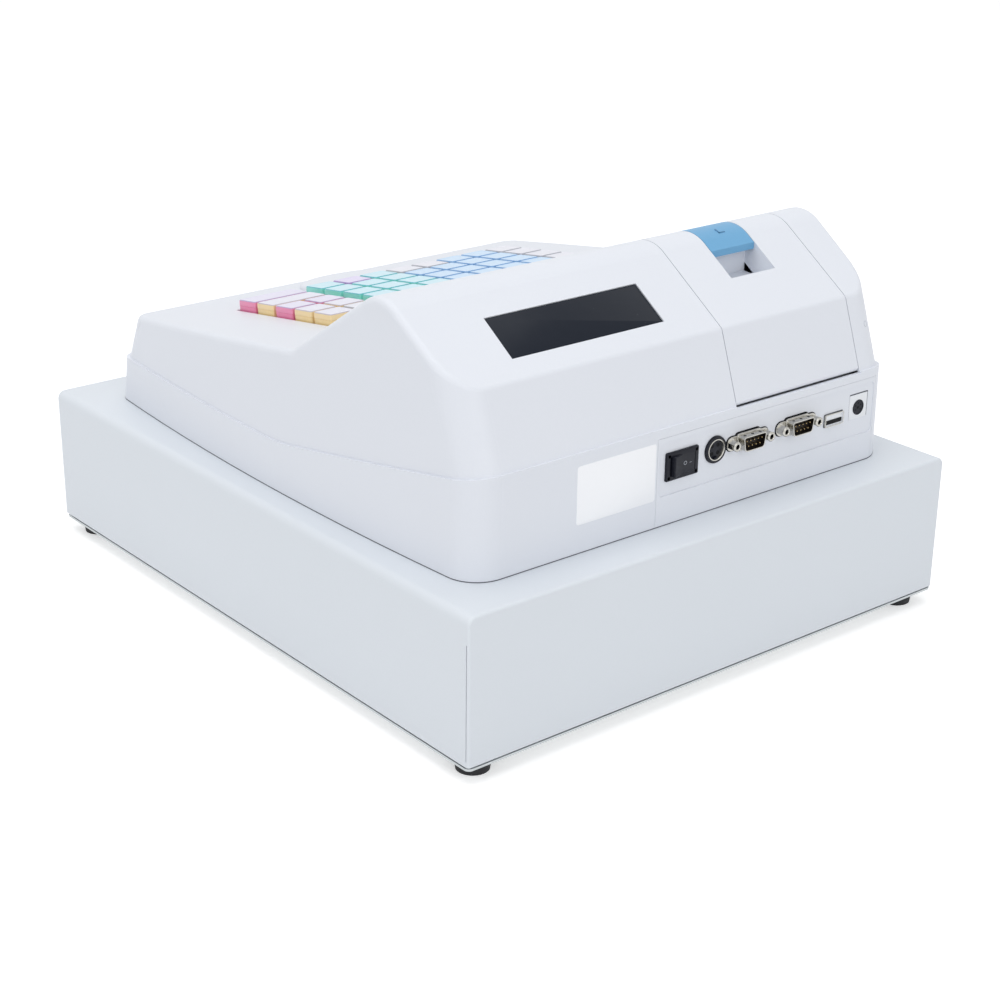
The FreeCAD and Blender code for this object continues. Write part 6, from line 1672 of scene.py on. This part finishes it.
@dataclass
class Trim:
    """Small pieces on the head: sill, bare rating label, painted shadow line at its foot and marks in its
    moulding.
    """

    finishes: Finishes
    label_x: Pair = (29.9, 81.8)
    label_z: Pair = (103.3, 134.0)
    label_y: float = 172.5
    label_corner: float = 1.6
    label_thickness: float = 0.12
    label_edge: float = 0.03
    label_steps: int = 6
    line_height: float = 0.5
    line_proud: float = 0.06
    mark_spot: Triple = (-71.5, 108.3, 240.0)
    mark_long: float = 4.6
    mark_short: float = 3.4
    mark_width: float = 0.9
    mark_height: float = 0.3
    mark_edge: float = 0.15
    dot_spot: Triple = (-132.8, 200.0, 162.7)
    dot_radius: float = 1.7
    dot_ring: float = 0.3
    dot_levels: Pair = (-0.1, 0.08)
    dot_steps: int = 32
    sill_low: Triple = (-120.2, 162.5, 136.6)
    sill_high: Triple = (-27.3, 169.4, 137.4)
    sill_edge: float = 0.2

    def sill(self) -> None:
        """Build the pale sill behind the gap under the printer cover."""
        piece = Piece("cover_sill", self.finishes)
        piece.take(block(self.sill_low, self.sill_high, self.sill_edge), Finish.HEAD)
        piece.done("register_body", "head_plastic")

    def label(self) -> None:
        """Build the bare sticker beside the port panel."""
        piece = Piece("rating_label", self.finishes)
        half_x = (self.label_x[1] - self.label_x[0]) / 2
        half_z = (self.label_z[1] - self.label_z[0]) / 2
        part = plate(
            rectangle(half_x, half_z), 0, self.label_thickness, self.label_corner, self.label_edge,
            self.label_steps,
        )
        place = upright(sum(self.label_x) / 2, sum(self.label_z) / 2, self.label_y)
        piece.take(part, Finish.STICKER, place)
        piece.done("register_body", "white_plastic")

    def foot_line(self) -> None:
        """Build the thin dark line of painted contact shadow where the head stands on the case, cut from the
        head's own foot.
        """
        piece = Piece("head_foot_line", self.finishes)
        for name in ("lower_housing", "port_panel"):
            part = node_mesh(name)
            foot = min(vert.co.z for vert in part.verts)
            bmesh.ops.bisect_plane(
                part, geom=[*part.verts, *part.edges, *part.faces], plane_co=(0, 0, foot + self.line_height),
                plane_no=(0, 0, 1), clear_outer=True,
            )
            part.normal_update()
            for vert in part.verts:
                out = Vector((vert.normal.x, vert.normal.y, 0))
                if out.length:
                    vert.co += out.normalized() * self.line_proud
            # The strip is painted contact shadow in the shadow_line finish.
            piece.take(part, Finish.LINE)
        piece.done("register_body", "head_plastic")

    def latch_mark(self) -> None:
        """Build the small raised corner mark on the latch, painted a darker blue than the latch as a stand-in
        for its shade.
        """
        piece = Piece("latch_mark", self.finishes)
        place = standing_on("cover_latch", self.mark_spot, (0, 0, -1))
        half, low = self.mark_width / 2, -self.mark_height
        high = (0, half, self.mark_height)
        for corner in ((-self.mark_long, -half, low), (-self.mark_width, -self.mark_short, low)):
            piece.take(block(corner, high, self.mark_edge), Finish.LATCH_MARK, place)
        piece.done("cover_latch_body", "blue_plastic")

    def gate_dot(self) -> None:
        """Build the faint ring that the mould left beside the printer cover."""
        piece = Piece("gate_dot", self.finishes)
        place = standing_on("upper_housing", self.dot_spot, (0, -1, 0))
        inner, outer = self.dot_radius - self.dot_ring, self.dot_radius
        low, top = self.dot_levels
        ring = [(inner, low), (inner, top), (outer, top), (outer, low)]
        piece.take(turned(ring, Axis.Z, (0, 0, 0), self.dot_steps), Finish.SOFT_LINE, place)
        piece.done("register_body", "head_plastic")

    def build(self) -> None:
        """Build every trim piece."""
        self.sill()
        self.label()
        self.foot_line()
        self.latch_mark()
        self.gate_dot()


@dataclass(frozen=True)
class Lamp:
    """A soft square lamp that faces the register: its place and side in metres, its power in watts."""

    name: str
    spot: Triple
    size: float
    power: float
    aim: Triple = (0.0, 0.0, 0.1)

    def hang(self) -> None:
        """Hang the lamp in the scene."""
        data = bpy.data.lights.new(self.name, "AREA")
        data.size = self.size
        data.energy = self.power
        item = bpy.data.objects.new(self.name, data)
        turn = (Vector(self.aim) - Vector(self.spot)).to_track_quat("-Z", "Y").to_matrix().to_4x4()
        item.matrix_world = Matrix.Translation(self.spot) @ turn
        bpy.context.scene.collection.objects.link(item)


@dataclass
class Studio:
    """The camera, the pale floor and the soft light."""

    camera_spot: Triple = (675.2, 835.3, 482.3)
    azimuth: float = 140.55
    elevation: float = 22.37
    roll: float = 0.68
    lens: float = 71.73
    floor_radius: float = 9.0
    sky: float = 0.58
    floor_tone: float = 0.86
    floor_glow: float = 0.42
    sky_tone: Colour = (0.97, 0.985, 1.0, 1.0)
    white: Colour = (1.0, 1.0, 1.0, 1.0)
    lamps: tuple[Lamp, ...] = (
        Lamp("top_softbox", (0.2, -0.2, 2.4), 2.4, 23.0),
        Lamp("rear_softbox", (0.3, 2.4, 1.3), 1.6, 11.5),
        Lamp("side_softbox", (2.4, 0.3, 1.4), 1.6, 9.5),
    )

    def camera(self) -> None:
        """Place the camera where the photograph was taken from."""
        data = bpy.data.cameras.new("camera")
        data.lens = self.lens
        data.sensor_width = 36.0
        data.clip_start = 0.01
        item = bpy.data.objects.new("camera", data)
        azimuth, elevation = math.radians(self.azimuth), math.radians(self.elevation)
        turn = (
            Matrix.Rotation(azimuth, 4, "Z") @ Matrix.Rotation(math.pi / 2 - elevation, 4, "X")
            @ Matrix.Rotation(math.radians(self.roll), 4, "Z")
        )
        item.matrix_world = Matrix.Translation(Vector(self.camera_spot) * MM) @ turn
        bpy.context.scene.collection.objects.link(item)
        bpy.context.scene.camera = item

    @staticmethod
    def seen(tree: bpy.types.NodeTree) -> bpy.types.NodeSocket:
        """Tell the rays that show the background: the camera's, and those that metal and glass pass on.

        Args:
            tree: The nodes of the floor's material or of the world.

        Returns:
            The socket of a share that is 1 for such a ray.
        """
        paths = tree.nodes.new("ShaderNodeLightPath")
        share = paths.outputs["Is Camera Ray"]
        for name in ("Is Glossy Ray", "Is Transmission Ray"):
            either = tree.nodes.new("ShaderNodeMath")
            either.operation = "MAXIMUM"
            tree.links.new(share, either.inputs[0])
            tree.links.new(paths.outputs[name], either.inputs[1])
            share = either.outputs[0]
        return share

    def floor(self) -> None:
        """Lay the pale floor."""
        part = bmesh.new()
        bmesh.ops.create_circle(part, cap_ends=True, segments=96, radius=self.floor_radius)
        mesh = bpy.data.meshes.new("floor")
        part.to_mesh(mesh)
        part.free()
        item = bpy.data.objects.new("floor", mesh)
        bpy.context.scene.collection.objects.link(item)
        shader = Shader("floor_paper")
        shader.set(Base_Color=(self.floor_tone, self.floor_tone, self.floor_tone, 1), Roughness=0.9)
        glow = shader.add("ShaderNodeMath", operation="MULTIPLY")
        shader.link(self.seen(shader.tree), glow.inputs[0])
        glow.inputs[1].default_value = self.floor_glow
        shader.link(glow.outputs[0], shader.surface.inputs["Emission Strength"])
        shader.set(Emission_Color=self.white, Specular_IOR_Level=0.1)
        mesh.materials.append(shader.material)

    def world(self) -> None:
        """Set the even light from all round and the white backdrop."""
        world = bpy.data.worlds.new("studio")
        bpy.context.scene.world = world
        world.use_nodes = True
        tree = world.node_tree
        tree.nodes.clear()
        out = tree.nodes.new("ShaderNodeOutputWorld")
        mix = tree.nodes.new("ShaderNodeMixShader")
        soft = tree.nodes.new("ShaderNodeBackground")
        soft.inputs["Color"].default_value = self.sky_tone
        soft.inputs["Strength"].default_value = self.sky
        white = tree.nodes.new("ShaderNodeBackground")
        white.inputs["Color"].default_value = self.white
        tree.links.new(self.seen(tree), mix.inputs[0])
        tree.links.new(soft.outputs[0], mix.inputs[1])
        tree.links.new(white.outputs[0], mix.inputs[2])
        tree.links.new(mix.outputs[0], out.inputs[0])

    def build(self) -> None:
        """Set up the whole studio."""
        self.camera()
        self.floor()
        self.world()
        for lamp in self.lamps:
            lamp.hang()
        bpy.context.scene.view_settings.view_transform = "Standard"


def main() -> None:
    """Build the register's visual model in order."""
    logging.basicConfig(level=logging.INFO)
    finishes = Finishes()
    finishes.dress_nodes()
    Keyboard(finishes).build()
    for port in (Switch, PowerInlet, SerialPlugs, UsbSocket, DisplaySocket):
        port(finishes).build()
    Windows(finishes).build()
    Trim(finishes).build()
    Studio().build()


if __name__ == "__main__":
    main()
